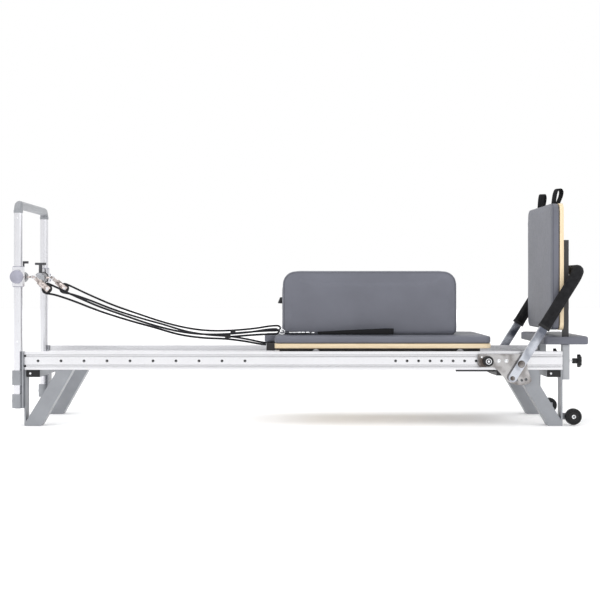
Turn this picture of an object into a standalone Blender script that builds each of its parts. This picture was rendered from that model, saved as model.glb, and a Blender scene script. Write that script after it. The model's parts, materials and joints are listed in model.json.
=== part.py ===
"""Pilates reformer with a sitting box, a jump board, a footbar and rope risers.

Metres, +Z up. +X runs from the head end to the foot end, -Y is the near side.
The origin is the centre of the whole machine's footprint, on the floor.
"""

import math

import bmesh
import bpy
from mathutils import Matrix, Vector

GAP = 0.0003
SIDES = (("near", -1), ("far", 1))

# Rails
RAIL_HEAD = -1.199
RAIL_FOOT = 1.142
RAIL_OUTER = 0.335
RAIL_WIDTH = 0.055
RAIL_LIP = 0.018
RAIL_WALL = 0.008
RAIL_BOTTOM = 0.244
RAIL_LEDGE = 0.300
RAIL_TOP = 0.324
GROOVE_DEPTH = 0.004
GROOVE_HEIGHT = 0.011
GROOVE_BOTTOMS = (0.255, 0.299)
HOLE_RADIUS = 0.0045
HOLE_HEIGHT = 0.2827
HEAD_HOLES = (-1.139, 0.100, 10)
FOOT_HOLES = (0.4155, 0.050, 8)

# Legs and cross tubes
LEG_OUTER = 0.333
LEG_INNER = 0.254
LEG_PLATE = 0.0075
CROSS_BOTTOM = 0.212
CROSS_WIDTH = 0.061
CROSS_WALL = 0.003

# Transport wheels
WHEEL_RADIUS = 0.036
WHEEL_X = 1.1925
WHEEL_Z = 0.0385
WHEEL_OUTER = 0.325
WHEEL_INNER = 0.296
AXLE_RADIUS = 0.005

# Foot end: uprights, standing platform and jump board
UPRIGHT_X = (1.1423, 1.1745)
UPRIGHT_Y = (0.287, 0.325)
UPRIGHT_Z = (0.2005, 0.3527)
UPRIGHT_WALL = 0.003
PLATFORM_X = (1.0596, 1.2555)
PLATFORM_HALF = 0.345
PLATFORM_Z = (0.353, 0.3886)
SLOT_CLEARANCE = 0.001
POST_CLEARANCE = 0.0006
POST_Z = (0.215, 0.809)
TIE_Z = (0.560, 0.600)
BOARD_WOOD_X = (1.128, 1.1455)
BOARD_PAD_FRONT = 1.0945
BOARD_HALF = 0.345
BOARD_Z = (0.4165, 0.969)
BOARD_CORNER = 0.035
STAR_KNOB_Z = 0.2816
STRAP_LOOP_X = 1.138
STRAP_LOOP_Y = 0.200
STRAP_TURN = {"near": 35, "far": 60}
WEBBING_WIDTH = 0.028
WEBBING_THICK = 0.003
STRAP_LOOP = (
    (1.120, 0.9715), (1.123, 0.990), (1.130, 1.018), (1.141, 1.038),
    (1.158, 1.041), (1.169, 1.028), (1.165, 1.008), (1.153, 0.986), (1.144, 0.9715),
)

# Footbar
PIVOT = (0.955, 0.271)
GRIP_BAR = (1.208, 0.675)
ARM_Y = 0.376
ARM_WIDTH = 0.036
ARM_THICK = 0.024
ARM_TAIL = 0.088
GRIP_START = 0.184
GRIP_RADIUS = 0.026
GRIP_BEND = 0.052
PIVOT_RADIUS = 0.009
PLATE_Y = (0.3475, 0.3555)
SECTOR_RADIUS = 0.0925
RAIL_KNOB = (0.815, 0.2823)

# Risers
POST_X = -1.2265
POST_Y = 0.325
TUBE_RADIUS = 0.019
TUBE_WALL = 0.0025
TUBE_BOTTOM = 0.078
TUBE_TOP = 0.9327
TOP_BAR_Z = 0.962
TOP_BEND = 0.027
BRACKET_X = (-1.2065, -1.1995)
SLEEVE_RADIUS = 0.027
SLEEVE_BORE = 0.0194
SLEEVES = ((0.078, 0.138), (0.178, 0.241))

# Sliders and pulleys
SLIDER_HALF = 0.0245
SLIDER_Z = (0.607, 0.691)
SLIDER_AXIS = 0.648
HUB_RADIUS = 0.0215
HUB_END = 0.200
PIN_Y = 0.226
PULLEY_Y = 0.238
EYE_X = -1.1745
SHEAVE = (-1.115, 0.597)
SHEAVE_RADIUS = 0.021
SHEAVE_GROOVE = 0.0155
SHEAVE_WIDTH = 0.012
CHEEK_GAP = 0.0068

# Carriage
PAD_X = (-0.111, 0.838)
PAD_HALF = 0.300
PAD_Z = (0.3563, 0.390)
WOOD_Z = (0.3356, 0.356)
BEAM_Y = (0.245, 0.275)
BEAM_Z = (0.302, 0.3353)
BEAM_X = (-0.090, 0.790)
BUMPER_X = (-0.149, -0.1115)
SPRING_PLATE_X = (0.435, 0.445)
CARRIAGE_WHEEL_X = (0.070, 0.700)
CARRIAGE_WHEEL_RADIUS = 0.0165
HEADREST_X = (-0.160, 0.020)
HEADREST_HALF = 0.140
HEADREST_TOP = 0.3885
BOX_X = (-0.0776, 0.6947)
BOX_HALF = 0.210
BOX_Z = (0.3904, 0.6743)

# Springs
SPRING_BAR_X = (0.855, 0.885)
SPRING_BAR_Z = (0.2185, 0.2435)
SPRING_WEB = (0.8553, 0.8847, 0.250, 0.262)
SPRING_ARM = (0.687, 0.856, 0.230, 0.250, 0.2314, 0.2403)
SPRING_Z = 0.2505
SPRING_RADIUS = 0.0115
SPRING_ROWS = (-0.15, -0.05, 0.05, 0.15)

# Ropes
ROPE_RADIUS = 0.0045
ROPE_STEP = 0.030
WRAP_RADIUS = SHEAVE_GROOVE + ROPE_RADIUS + 0.0017
WRAP_ANGLES = (246, 215, 184, 153, 122, 91, 60)
ANCHOR_STRAND = (
    (-0.1502, 0.100, 0.345), (-0.177, 0.107, 0.347), (-0.254, 0.134, 0.3615),
    (-0.332, 0.162, 0.372), (-0.434, 0.195, 0.3785), (-0.535, 0.218, 0.394),
    (-0.645, 0.229, 0.4255), (-0.764, 0.233, 0.459), (-0.884, 0.235, 0.4975),
    (-0.994, 0.237, 0.540), (-1.075, 0.238, 0.5675),
)
STRAP_STRAND = (
    (-1.0706, 0.238, 0.6005), (-0.993, 0.240, 0.5640), (-0.884, 0.243, 0.5172),
    (-0.763, 0.247, 0.4745), (-0.643, 0.250, 0.4354), (-0.532, 0.253, 0.4085),
    (-0.430, 0.256, 0.3965), (-0.328, 0.260, 0.3970), (-0.220, 0.266, 0.4060),
    (-0.150, 0.270, 0.4165), (-0.110, 0.270, 0.4195), (-0.0977, 0.2662, 0.4161),
    (-0.0926, 0.257, 0.408), (-0.0977, 0.2478, 0.3999), (-0.110, 0.244, 0.3965),
    (-0.160, 0.243, 0.3950), (-0.220, 0.246, 0.3915), (-0.320, 0.250, 0.3840),
)


def clear_scene():
    """Starts from an empty scene with one collection for parts and one for cutters."""
    for obj in list(bpy.data.objects):
        bpy.data.objects.remove(obj, do_unlink=True)
    made = []
    for name in ("pilates_reformer", "cutters"):
        group = bpy.data.collections.new(name)
        bpy.context.scene.collection.children.link(group)
        made.append(group)
    return made


PARTS, CUTTERS = clear_scene()


def material(name, colour, roughness, metallic):
    """A Principled finish: base colour, roughness and metallic value."""
    made = bpy.data.materials.new(name)
    made.use_nodes = True
    shader = made.node_tree.nodes["Principled BSDF"]
    shader.inputs["Base Color"].default_value = (*colour, 1)
    shader.inputs["Roughness"].default_value = roughness
    shader.inputs["Metallic"].default_value = metallic
    return made


ANODISED = material("anodised_aluminium", (0.80, 0.80, 0.82), 0.32, 0.9)
SILVER = material("silver_paint", (0.50, 0.51, 0.53), 0.45, 0.4)
WHITE = material("white_enamel", (0.86, 0.86, 0.87), 0.35, 0.1)
CHROME = material("chrome", (0.75, 0.76, 0.78), 0.12, 1.0)
STEEL = material("dark_steel", (0.10, 0.09, 0.10), 0.45, 0.6)
BLACK = material("black_plastic", (0.02, 0.02, 0.02), 0.45, 0.0)
GREY = material("grey_plastic", (0.38, 0.38, 0.44), 0.5, 0.0)
FOAM = material("black_foam", (0.03, 0.03, 0.035), 0.85, 0.0)
VINYL = material("grey_vinyl", (0.15, 0.155, 0.175), 0.55, 0.0)
WOOD = material("birch_ply", (0.72, 0.55, 0.34), 0.5, 0.0)
ROPE = material("black_rope", (0.025, 0.025, 0.03), 0.8, 0.0)
RUBBER = material("black_rubber", (0.02, 0.02, 0.02), 0.8, 0.0)
NYLON = material("white_nylon", (0.85, 0.85, 0.83), 0.5, 0.0)


def add_object(name, mesh, finish=None, location=(0, 0, 0)):
    """A new object: a named part with its finish, or a hidden cutter without one."""
    obj = bpy.data.objects.new(name, mesh)
    obj.location = location
    if finish:
        mesh.materials.append(finish)
        PARTS.objects.link(obj)
    else:
        CUTTERS.objects.link(obj)
        obj.hide_render = True
        obj.display_type = "WIRE"
    return obj


def mesh_of(name, work):
    """Turns a finished bmesh into mesh data with its faces pointing out."""
    bmesh.ops.recalc_face_normals(work, faces=work.faces)
    mesh = bpy.data.meshes.new(name)
    work.to_mesh(mesh)
    work.free()
    return mesh


def bevel(obj, width, segments=2, angle=30):
    """Rounds the sharp edges."""
    rounding = obj.modifiers.new("rounding", "BEVEL")
    rounding.width = width
    rounding.segments = segments
    rounding.limit_method = "ANGLE"
    rounding.angle_limit = math.radians(angle)
    return obj


def box(name, low, high, finish=None, rounding=0.0, segments=2):
    """A box between two corners, with its origin at its centre."""
    low, high = Vector(low), Vector(high)
    work = bmesh.new()
    bmesh.ops.create_cube(work, size=1.0)
    bmesh.ops.scale(work, vec=high - low, verts=work.verts)
    obj = add_object(name, mesh_of(name, work), finish, (low + high) / 2)
    if rounding:
        bevel(obj, rounding, segments)
    return obj


def rod(name, start, end, radius, finish=None, sides=16):
    """A round bar between two points, with its origin at its middle."""
    start, end = Vector(start), Vector(end)
    work = bmesh.new()
    bmesh.ops.create_cone(
        work, cap_ends=True, segments=sides, radius1=radius, radius2=radius,
        depth=(end - start).length,
    )
    turn = (end - start).to_track_quat("Z", "Y").to_matrix().to_4x4()
    bmesh.ops.transform(work, matrix=turn, verts=work.verts)
    obj = add_object(name, mesh_of(name, work), finish, (start + end) / 2)
    smooth(obj)
    return obj


def smooth(obj, angle=40):
    """Shades round faces smooth and keeps sharp edges sharp."""
    obj.data.shade_smooth()
    obj.data.set_sharp_from_angle(angle=math.radians(angle))
    return obj


def curve_to_mesh(curve_obj, name, finish):
    """The curve's evaluated surface as a welded mesh object in the same place."""
    bpy.context.view_layer.update()
    evaluated = curve_obj.evaluated_get(bpy.context.evaluated_depsgraph_get())
    mesh = bpy.data.meshes.new_from_object(evaluated)
    mesh.materials.clear()
    work = bmesh.new()
    work.from_mesh(mesh)
    bmesh.ops.remove_doubles(work, verts=work.verts, dist=0.00001)
    obj = add_object(name, mesh_of(name, work), finish)
    obj.matrix_world = curve_obj.matrix_world
    bpy.data.objects.remove(curve_obj, do_unlink=True)
    return obj


def turn_to(axis):
    """The rotation that lays a flat outline across the given axis."""
    if axis == "X":
        return Matrix(((0, 0, 1), (1, 0, 0), (0, 1, 0))).to_4x4()
    if axis == "Y":
        return Matrix(((1, 0, 0), (0, 0, -1), (0, 1, 0))).to_4x4()
    return Matrix.Identity(4)


def prism(name, outlines, axis, low, high, finish=None):
    """Flat outlines, the first one outside and the rest holes, thick along an axis.

    Outlines hold (Y, Z) across X, (X, Z) across Y, and (X, Y) across Z.
    """
    data = bpy.data.curves.new(name, "CURVE")
    data.dimensions = "2D"
    data.fill_mode = "BOTH"
    data.extrude = abs(high - low) / 2
    for outline in outlines:
        spline = data.splines.new("POLY")
        spline.points.add(len(outline) - 1)
        for point, (a, b) in zip(spline.points, outline):
            point.co = (a, b, 0, 1)
        spline.use_cyclic_u = True
    curve = bpy.data.objects.new(name + "_outline", data)
    CUTTERS.objects.link(curve)
    middle = (low + high) / 2
    shift = {"X": (middle, 0, 0), "Y": (0, middle, 0), "Z": (0, 0, middle)}[axis]
    curve.matrix_world = Matrix.Translation(shift) @ turn_to(axis)
    return curve_to_mesh(curve, name, finish)


def circle(centre, radius, sides=24):
    """Points of a round outline."""
    turns = [2 * math.pi * i / sides for i in range(sides)]
    return [(centre[0] + radius * math.cos(t), centre[1] + radius * math.sin(t)) for t in turns]


def rounded(low, high, radii, steps=4):
    """A rectangle whose corners are arcs: bottom left, bottom right, top right, top left."""
    corners = (
        (low[0], low[1], 1, 1, 180), (high[0], low[1], -1, 1, 270),
        (high[0], high[1], -1, -1, 0), (low[0], high[1], 1, -1, 90),
    )
    points = []
    for (x, y, inward_x, inward_y, start), radius in zip(corners, radii):
        for i in range(steps + 1):
            angle = math.radians(start + 90 * i / steps)
            centre = (x + inward_x * radius, y + inward_y * radius)
            points.append((centre[0] + radius * math.cos(angle), centre[1] + radius * math.sin(angle)))
    return points


def turned(name, profile, centre, axis, finish=None, steps=24, closed=False):
    """A lathe shape from (radius, height) points, top to bottom, about an axis through centre."""
    data = bpy.data.meshes.new(name)
    points = [(radius, 0, height) for radius, height in profile]
    edges = [(i, i + 1) for i in range(len(points) - 1)]
    if closed:
        edges.append((len(points) - 1, 0))
    data.from_pydata(points, edges, [])
    obj = add_object(name, data, finish)
    screw = obj.modifiers.new("lathe", "SCREW")
    screw.axis = "Z"
    screw.steps = steps
    screw.render_steps = steps
    screw.use_merge_vertices = True
    screw.merge_threshold = 0.00001
    turn = Vector(axis).to_track_quat("Z", "Y").to_matrix().to_4x4()
    obj.matrix_world = Matrix.Translation(centre) @ turn
    return obj


def tube(name, points, radius, finish=None, sides=2):
    """A round tube along points, with closed ends."""
    data = bpy.data.curves.new(name, "CURVE")
    data.dimensions = "3D"
    data.bevel_depth = radius
    data.bevel_resolution = sides
    data.use_fill_caps = True
    spline = data.splines.new("POLY")
    spline.points.add(len(points) - 1)
    for point, place in zip(spline.points, points):
        point.co = (*place, 1)
    curve = bpy.data.objects.new(name + "_path", data)
    CUTTERS.objects.link(curve)
    return smooth(curve_to_mesh(curve, name, finish))


def ribbon(name, outline, centre, turn, width, thickness, finish):
    """A flat strap: an (X, Z) line spread sideways, made solid, and turned about the centre's vertical."""
    work = bmesh.new()
    rows = [
        [work.verts.new((x - centre[0], side * width / 2, z)) for x, z in outline]
        for side in (-1, 1)
    ]
    for i in range(len(outline) - 1):
        work.faces.new((rows[0][i], rows[0][i + 1], rows[1][i + 1], rows[1][i]))
    obj = add_object(name, mesh_of(name, work), finish, (*centre, 0))
    obj.rotation_euler.z = math.radians(turn)
    solid = obj.modifiers.new("thickness", "SOLIDIFY")
    solid.thickness = thickness
    solid.offset = 0
    return obj


def combine(obj, operation, others):
    """A live Boolean with each of the others."""
    for other in others:
        boolean = obj.modifiers.new(operation.lower(), "BOOLEAN")
        boolean.operation = operation
        boolean.object = other
        boolean.solver = "EXACT"
    return obj


def smooth_route(route, step):
    """Points along a smooth curve through the route, closer together where it bends."""
    knots = [Vector(p) for p in route]
    knots = [2 * knots[0] - knots[1], *knots, 2 * knots[-1] - knots[-2]]
    dense = []
    for before, a, b, after in zip(knots, knots[1:], knots[2:], knots[3:]):
        for i in range(40):
            t = i / 40
            dense.append(0.5 * (
                2 * a + (b - before) * t + (2 * before - 5 * a + 4 * b - after) * t * t
                + (3 * a - before - 3 * b + after) * t ** 3
            ))
    dense.append(knots[-2])
    kept, run = [dense[0]], 0.0
    for previous, here, following in zip(dense, dense[1:], dense[2:]):
        run += (here - previous).length
        turning = (here - previous).angle(following - here, 0.0)
        radius = (following - here).length / max(turning, 1e-6)
        if run >= min(step, max(0.0065, 0.42 * radius)):
            kept.append(here)
            run = 0.0
    if (kept[-1] - dense[-1]).length < step / 3:
        kept.pop()
    return [*kept, dense[-1]]


def joint_empty(name, place):
    """The parent of a moving piece, on its joint's axis."""
    empty = bpy.data.objects.new(name, None)
    empty.location = place
    PARTS.objects.link(empty)
    return empty


def attach(parent, *objects):
    """Parents pieces where they stand."""
    bpy.context.view_layer.update()
    for obj in objects:
        world = obj.matrix_world.copy()
        obj.parent = parent
        obj.matrix_parent_inverse = parent.matrix_world.inverted()
        obj.matrix_world = world


def span(side, inner, outer):
    """A low and high Y for a stretch that lies between two distances from the middle."""
    return tuple(sorted((side * inner, side * outer)))


def rail(label, side):
    """A hollow rail with a wheel ledge inside, two outer grooves and two rows of holes."""
    def across(depth):
        return side * (RAIL_OUTER - depth)

    outline = [
        (across(0), RAIL_TOP), (across(RAIL_LIP), RAIL_TOP), (across(RAIL_LIP), RAIL_LEDGE),
        (across(RAIL_WIDTH), RAIL_LEDGE), (across(RAIL_WIDTH), RAIL_BOTTOM), (across(0), RAIL_BOTTOM),
    ]
    slope = GROOVE_HEIGHT / 4
    for bottom in GROOVE_BOTTOMS:
        top = bottom + GROOVE_HEIGHT
        outline += [
            (across(0), bottom), (across(GROOVE_DEPTH), bottom + slope),
            (across(GROOVE_DEPTH), top - slope), (across(0), top),
        ]
    wall = RAIL_WALL / 2
    hollow = [
        (across(RAIL_WALL), RAIL_BOTTOM + wall), (across(RAIL_WIDTH - wall), RAIL_BOTTOM + wall),
        (across(RAIL_WIDTH - wall), RAIL_LEDGE - wall), (across(RAIL_WALL), RAIL_LEDGE - wall),
    ]
    body = prism(label + "_rail", [outline, hollow], "X", RAIL_HEAD, RAIL_FOOT, ANODISED)
    drills = []
    for first, pitch, count in (HEAD_HOLES, FOOT_HOLES):
        for i in range(count):
            x = first + i * pitch
            drills.append(rod(
                f"{label}_rail_drill", (x, across(-0.002), HOLE_HEIGHT),
                (x, across(RAIL_WALL + 0.003), HOLE_HEIGHT), HOLE_RADIUS, sides=8,
            ))
    return combine(body, "DIFFERENCE", drills)


def cross_tube(name, x_low):
    """A rectangular tube under both rails, open at its ends."""
    low, high = (x_low, CROSS_BOTTOM), (x_low + CROSS_WIDTH, RAIL_BOTTOM - GAP)
    outer = rounded(low, high, (0.002,) * 4, steps=1)
    inside = [(low[0] + CROSS_WALL, low[1] + CROSS_WALL), (high[0] - CROSS_WALL, low[1] + CROSS_WALL),
              (high[0] - CROSS_WALL, high[1] - CROSS_WALL), (low[0] + CROSS_WALL, high[1] - CROSS_WALL)]
    return prism(name, [outer, inside], "Y", -LEG_OUTER, LEG_OUTER, SILVER)


def head_leg(label, side):
    """The head-end leg: an upright plate and a raked strut that meet at the foot."""
    top = RAIL_BOTTOM - GAP
    outline = [
        (RAIL_HEAD, top), (RAIL_HEAD, 0), (-1.126, 0), (-0.987, top), (-1.065, top),
        (-1.065, 0.2275), (RAIL_HEAD + LEG_PLATE, 0.020), (RAIL_HEAD + LEG_PLATE, top),
    ]
    low, high = span(side, LEG_INNER, LEG_OUTER)
    return prism(f"head_{label}_leg", [outline], "Y", low, high, SILVER)


def foot_leg(label, side):
    """The foot-end leg, with the bracket and axle stub of its transport wheel."""
    top = RAIL_BOTTOM - GAP
    plate_x = RAIL_FOOT - LEG_PLATE
    outline = [
        (RAIL_FOOT, top), (plate_x, top), (plate_x, 0.0265), (1.0413, 0.182), (1.0413, top),
        (0.934, top), (1.0795, 0), (RAIL_FOOT, 0),
    ]
    low, high = span(side, LEG_INNER, LEG_OUTER)
    leg = prism(f"foot_{label}_leg", [outline], "Y", low, high, SILVER)
    bracket_low, bracket_high = span(side, 0.284, 0.292)
    bracket = box(
        f"{label}_wheel_bracket", (RAIL_FOOT - 0.004, bracket_low, WHEEL_Z - 0.014),
        (WHEEL_X + 0.012, bracket_high, WHEEL_Z + 0.014),
    )
    axle = rod(
        f"{label}_wheel_axle", (WHEEL_X, side * 0.288, WHEEL_Z),
        (WHEEL_X, side * (WHEEL_OUTER - 0.001), WHEEL_Z), AXLE_RADIUS,
    )
    return combine(leg, "UNION", [bracket, axle])


def transport_wheel(label, side):
    """A plain wheel with a rounded tread and a bore, on its own axis."""
    half = (WHEEL_OUTER - WHEEL_INNER) / 2
    bore = AXLE_RADIUS + GAP
    profile = [
        (bore, half), (0.012, half), (0.013, half - 0.004), (0.026, half - 0.004),
        (0.028, half - 0.001), (0.033, half - 0.001), (WHEEL_RADIUS, half - 0.006),
        (WHEEL_RADIUS, -half + 0.006), (0.033, -half + 0.001), (bore, -half),
    ]
    centre = (WHEEL_X, side * (WHEEL_OUTER + WHEEL_INNER) / 2, WHEEL_Z)
    return turned(label + "_transport_wheel", profile, centre, (0, side, 0), RUBBER, closed=True)


def upright(label, side):
    """A square socket tube on the end of the rail, open at both ends."""
    y_low, y_high = span(side, *UPRIGHT_Y)
    outer = rounded((UPRIGHT_X[0], y_low), (UPRIGHT_X[1], y_high), (0.003,) * 4, steps=1)
    wall = UPRIGHT_WALL
    inner = [(UPRIGHT_X[0] + wall, y_low + wall), (UPRIGHT_X[1] - wall, y_low + wall),
             (UPRIGHT_X[1] - wall, y_high - wall), (UPRIGHT_X[0] + wall, y_high - wall)]
    return prism(label + "_upright", [outer, inner], "Z", *UPRIGHT_Z, SILVER)


def platform():
    """The upholstered standing platform, slotted for the jump board's posts."""
    outline = rounded(
        (PLATFORM_X[0], -PLATFORM_HALF), (PLATFORM_X[1], PLATFORM_HALF), (0.018,) * 4, steps=3,
    )
    pad = prism("standing_platform", [outline], "Z", *PLATFORM_Z, VINYL)
    slots = []
    for label, side in SIDES:
        x_low, x_high, y_low, y_high = post_section(side, -SLOT_CLEARANCE)
        slots.append(box(
            label + "_platform_slot", (x_low, y_low, PLATFORM_Z[0] - 0.01),
            (x_high, y_high, PLATFORM_Z[1] + 0.01),
        ))
    return combine(pad, "DIFFERENCE", slots)


def post_section(side, inset=0.0):
    """The jump board post's section inside its socket, as low and high X and Y."""
    shrink = UPRIGHT_WALL + POST_CLEARANCE + inset
    y_low, y_high = span(side, *UPRIGHT_Y)
    return UPRIGHT_X[0] + shrink, UPRIGHT_X[1] - shrink, y_low + shrink, y_high - shrink


def jump_board():
    """The board: pad, plywood back, welded post frame and two webbing loops."""
    outline = rounded((-BOARD_HALF, BOARD_Z[0]), (BOARD_HALF, BOARD_Z[1]), (BOARD_CORNER,) * 4)
    wood = prism("board_wood", [outline], "X", *BOARD_WOOD_X, WOOD)
    pad = prism("board_pad", [outline], "X", BOARD_PAD_FRONT, BOARD_WOOD_X[0] - GAP, VINYL)
    bars = []
    for label, side in SIDES:
        x_low, x_high, y_low, y_high = post_section(side)
        finish = STEEL if side < 0 else None
        name = "board_frame" if side < 0 else "far_board_post"
        bars.append(box(name, (x_low, y_low, POST_Z[0]), (x_high, y_high, POST_Z[1]), finish))
    inner = UPRIGHT_Y[0] + 0.01
    tie = box("board_tie", (BOARD_WOOD_X[1] + GAP * 2, -inner, TIE_Z[0]),
              (BOARD_WOOD_X[1] + 0.012, inner, TIE_Z[1]))
    frame = combine(bars[0], "UNION", [tie, bars[1]])
    straps = [
        ribbon(label + "_board_strap", STRAP_LOOP, (STRAP_LOOP_X, side * STRAP_LOOP_Y),
               STRAP_TURN[label], WEBBING_WIDTH, WEBBING_THICK, ROPE)
        for label, side in SIDES
    ]
    slide = joint_empty("jump_board_slide", (UPRIGHT_X[0], 0, UPRIGHT_Z[0]))
    attach(slide, wood, pad, frame, *straps)


def star_knob(label, side):
    """The clamp knob of a socket, turning about X."""
    length = 0.0555
    profile = [
        (0, length), (0.008, length), (0.010, 0.0515), (0.028, 0.051), (0.030, 0.047), (0.030, 0.038),
        (0.028, 0.034), (0.0115, 0.033), (0.0115, 0.014), (0.004, 0.014), (0.004, 0), (0, 0),
    ]
    centre = (UPRIGHT_X[1] + GAP, side * (UPRIGHT_Y[0] + UPRIGHT_Y[1]) / 2, STAR_KNOB_Z)
    return turned(label + "_star_knob", profile, centre, (1, 0, 0), BLACK)


def arm_direction():
    """The unit (X, Z) direction from the footbar's pivot to its grip."""
    run, rise = GRIP_BAR[0] - PIVOT[0], GRIP_BAR[1] - PIVOT[1]
    reach = math.hypot(run, rise)
    return run / reach, rise / reach, reach


def footbar_plate(label, side):
    """The chrome sector plate, its spacer block on the rail and the pivot stub."""
    arc = []
    for i in range(9):
        angle = math.radians(225 + 72 * i / 8)
        arc.append((PIVOT[0] + SECTOR_RADIUS * math.cos(angle), PIVOT[1] + SECTOR_RADIUS * math.sin(angle)))
    outline = [(0.772, 0.307), (0.772, 0.265), (0.778, 0.259), (0.846, 0.2545), *arc,
               (1.004, 0.197), (0.986, 0.252), (0.984, 0.305), (0.976, 0.313), (0.778, 0.313)]
    low, high = span(side, *PLATE_Y)
    plate = prism(label + "_footbar_plate", [outline], "Y", low, high, CHROME)
    notches = []
    for degrees in (258, 274, 290):
        along = (math.cos(math.radians(degrees)), math.sin(math.radians(degrees)))
        notches.append(rod(
            f"{label}_notch", (PIVOT[0] + along[0] * 0.072, side * 0.340, PIVOT[1] + along[1] * 0.072),
            (PIVOT[0] + along[0] * 0.072, side * 0.362, PIVOT[1] + along[1] * 0.072), 0.0065, sides=10,
        ))
    block_low, block_high = span(side, RAIL_OUTER + GAP, PLATE_Y[0] + 0.001)
    block = box(label + "_plate_block", (0.845, block_low, 0.268), (0.930, block_high, 0.298))
    stub = rod(label + "_pivot_stub", (PIVOT[0], side * PLATE_Y[0], PIVOT[1]),
               (PIVOT[0], side * (ARM_Y + ARM_THICK / 2 + 0.006), PIVOT[1]), PIVOT_RADIUS)
    combine(plate, "DIFFERENCE", notches)
    return combine(plate, "UNION", [block, stub])


def rail_knob(label, side):
    """The round knob that clamps the footbar plate to the rail, turning about Y."""
    profile = [
        (0, 0.026), (0.012, 0.026), (0.019, 0.024), (0.0225, 0.019), (0.023, 0.008), (0.021, 0.004),
        (0.012, 0.003), (0.012, 0), (0, 0),
    ]
    centre = (RAIL_KNOB[0], side * (PLATE_Y[1] + GAP), RAIL_KNOB[1])
    return turned(label + "_rail_knob", profile, centre, (0, side, 0), BLACK)


def footbar():
    """Two chrome arms on the plates' pivots and the padded bar that joins them."""
    run, rise, reach = arm_direction()
    hinge = joint_empty("footbar_hinge", (PIVOT[0], 0, PIVOT[1]))
    for label, side in SIDES:
        half = ARM_WIDTH / 2
        bar_outline = rounded((-ARM_TAIL, -half), (GRIP_START - 0.0005, half), (half, 0.003, 0.003, half))
        outline = [(PIVOT[0] + a * run - b * rise, PIVOT[1] + a * rise + b * run) for a, b in bar_outline]
        low, high = span(side, ARM_Y - ARM_THICK / 2, ARM_Y + ARM_THICK / 2)
        bore = circle(PIVOT, PIVOT_RADIUS + 0.0005, 16)
        attach(hinge, prism(label + "_footbar_arm", [outline, bore], "Y", low, high, CHROME))
    half_bar = [(GRIP_START, ARM_Y), (reach - GRIP_BEND - 0.09, ARM_Y)]
    for i in range(7):
        angle = math.radians(90 * i / 6)
        half_bar.append((
            reach - GRIP_BEND * (1 - math.sin(angle)), ARM_Y - GRIP_BEND * (1 - math.cos(angle)),
        ))
    near = [(PIVOT[0] + t * run, -y, PIVOT[1] + t * rise) for t, y in half_bar]
    far = [(x, -y, z) for x, y, z in reversed(near)]
    attach(hinge, tube("footbar_grip", near + far, GRIP_RADIUS, FOAM, sides=4))


def riser_bracket(label, side):
    """The bolted plate with two sleeves that hold a riser post."""
    y_low, y_high = side * POST_Y - SLEEVE_RADIUS, side * POST_Y + SLEEVE_RADIUS
    plate = box(label + "_riser_bracket", (BRACKET_X[0], y_low, SLEEVES[0][0]),
                (BRACKET_X[1], y_high, RAIL_TOP), SILVER)
    sleeves = [
        rod(label + "_sleeve", (POST_X, side * POST_Y, low), (POST_X, side * POST_Y, high),
            SLEEVE_RADIUS, sides=24)
        for low, high in SLEEVES
    ]
    bore = rod(label + "_sleeve_bore", (POST_X, side * POST_Y, SLEEVES[0][0] - 0.01),
               (POST_X, side * POST_Y, SLEEVES[1][1] + 0.01), SLEEVE_BORE, sides=24)
    combine(plate, "UNION", sleeves)
    return combine(plate, "DIFFERENCE", [bore])


def riser():
    """Two tube posts and the bent bar across their tops."""
    for label, side in SIDES:
        outer = circle((POST_X, side * POST_Y), TUBE_RADIUS)
        inner = circle((POST_X, side * POST_Y), TUBE_RADIUS - TUBE_WALL)
        smooth(prism(label + "_post", [outer, inner], "Z", TUBE_BOTTOM, TUBE_TOP, WHITE))
    rise = [(POST_Y, TUBE_TOP + GAP), (POST_Y, TOP_BAR_Z - TOP_BEND - 0.0005)]
    for i in range(6):
        angle = math.radians(90 * i / 5)
        rise.append((POST_Y - TOP_BEND * (1 - math.cos(angle)), TOP_BAR_Z - TOP_BEND * (1 - math.sin(angle))))
    near = [(POST_X, -y, z) for y, z in rise]
    far = [(x, -y, z) for x, y, z in reversed(near)]
    tube("riser_top_bar", near + far, TUBE_RADIUS, SILVER, sides=4)


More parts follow.
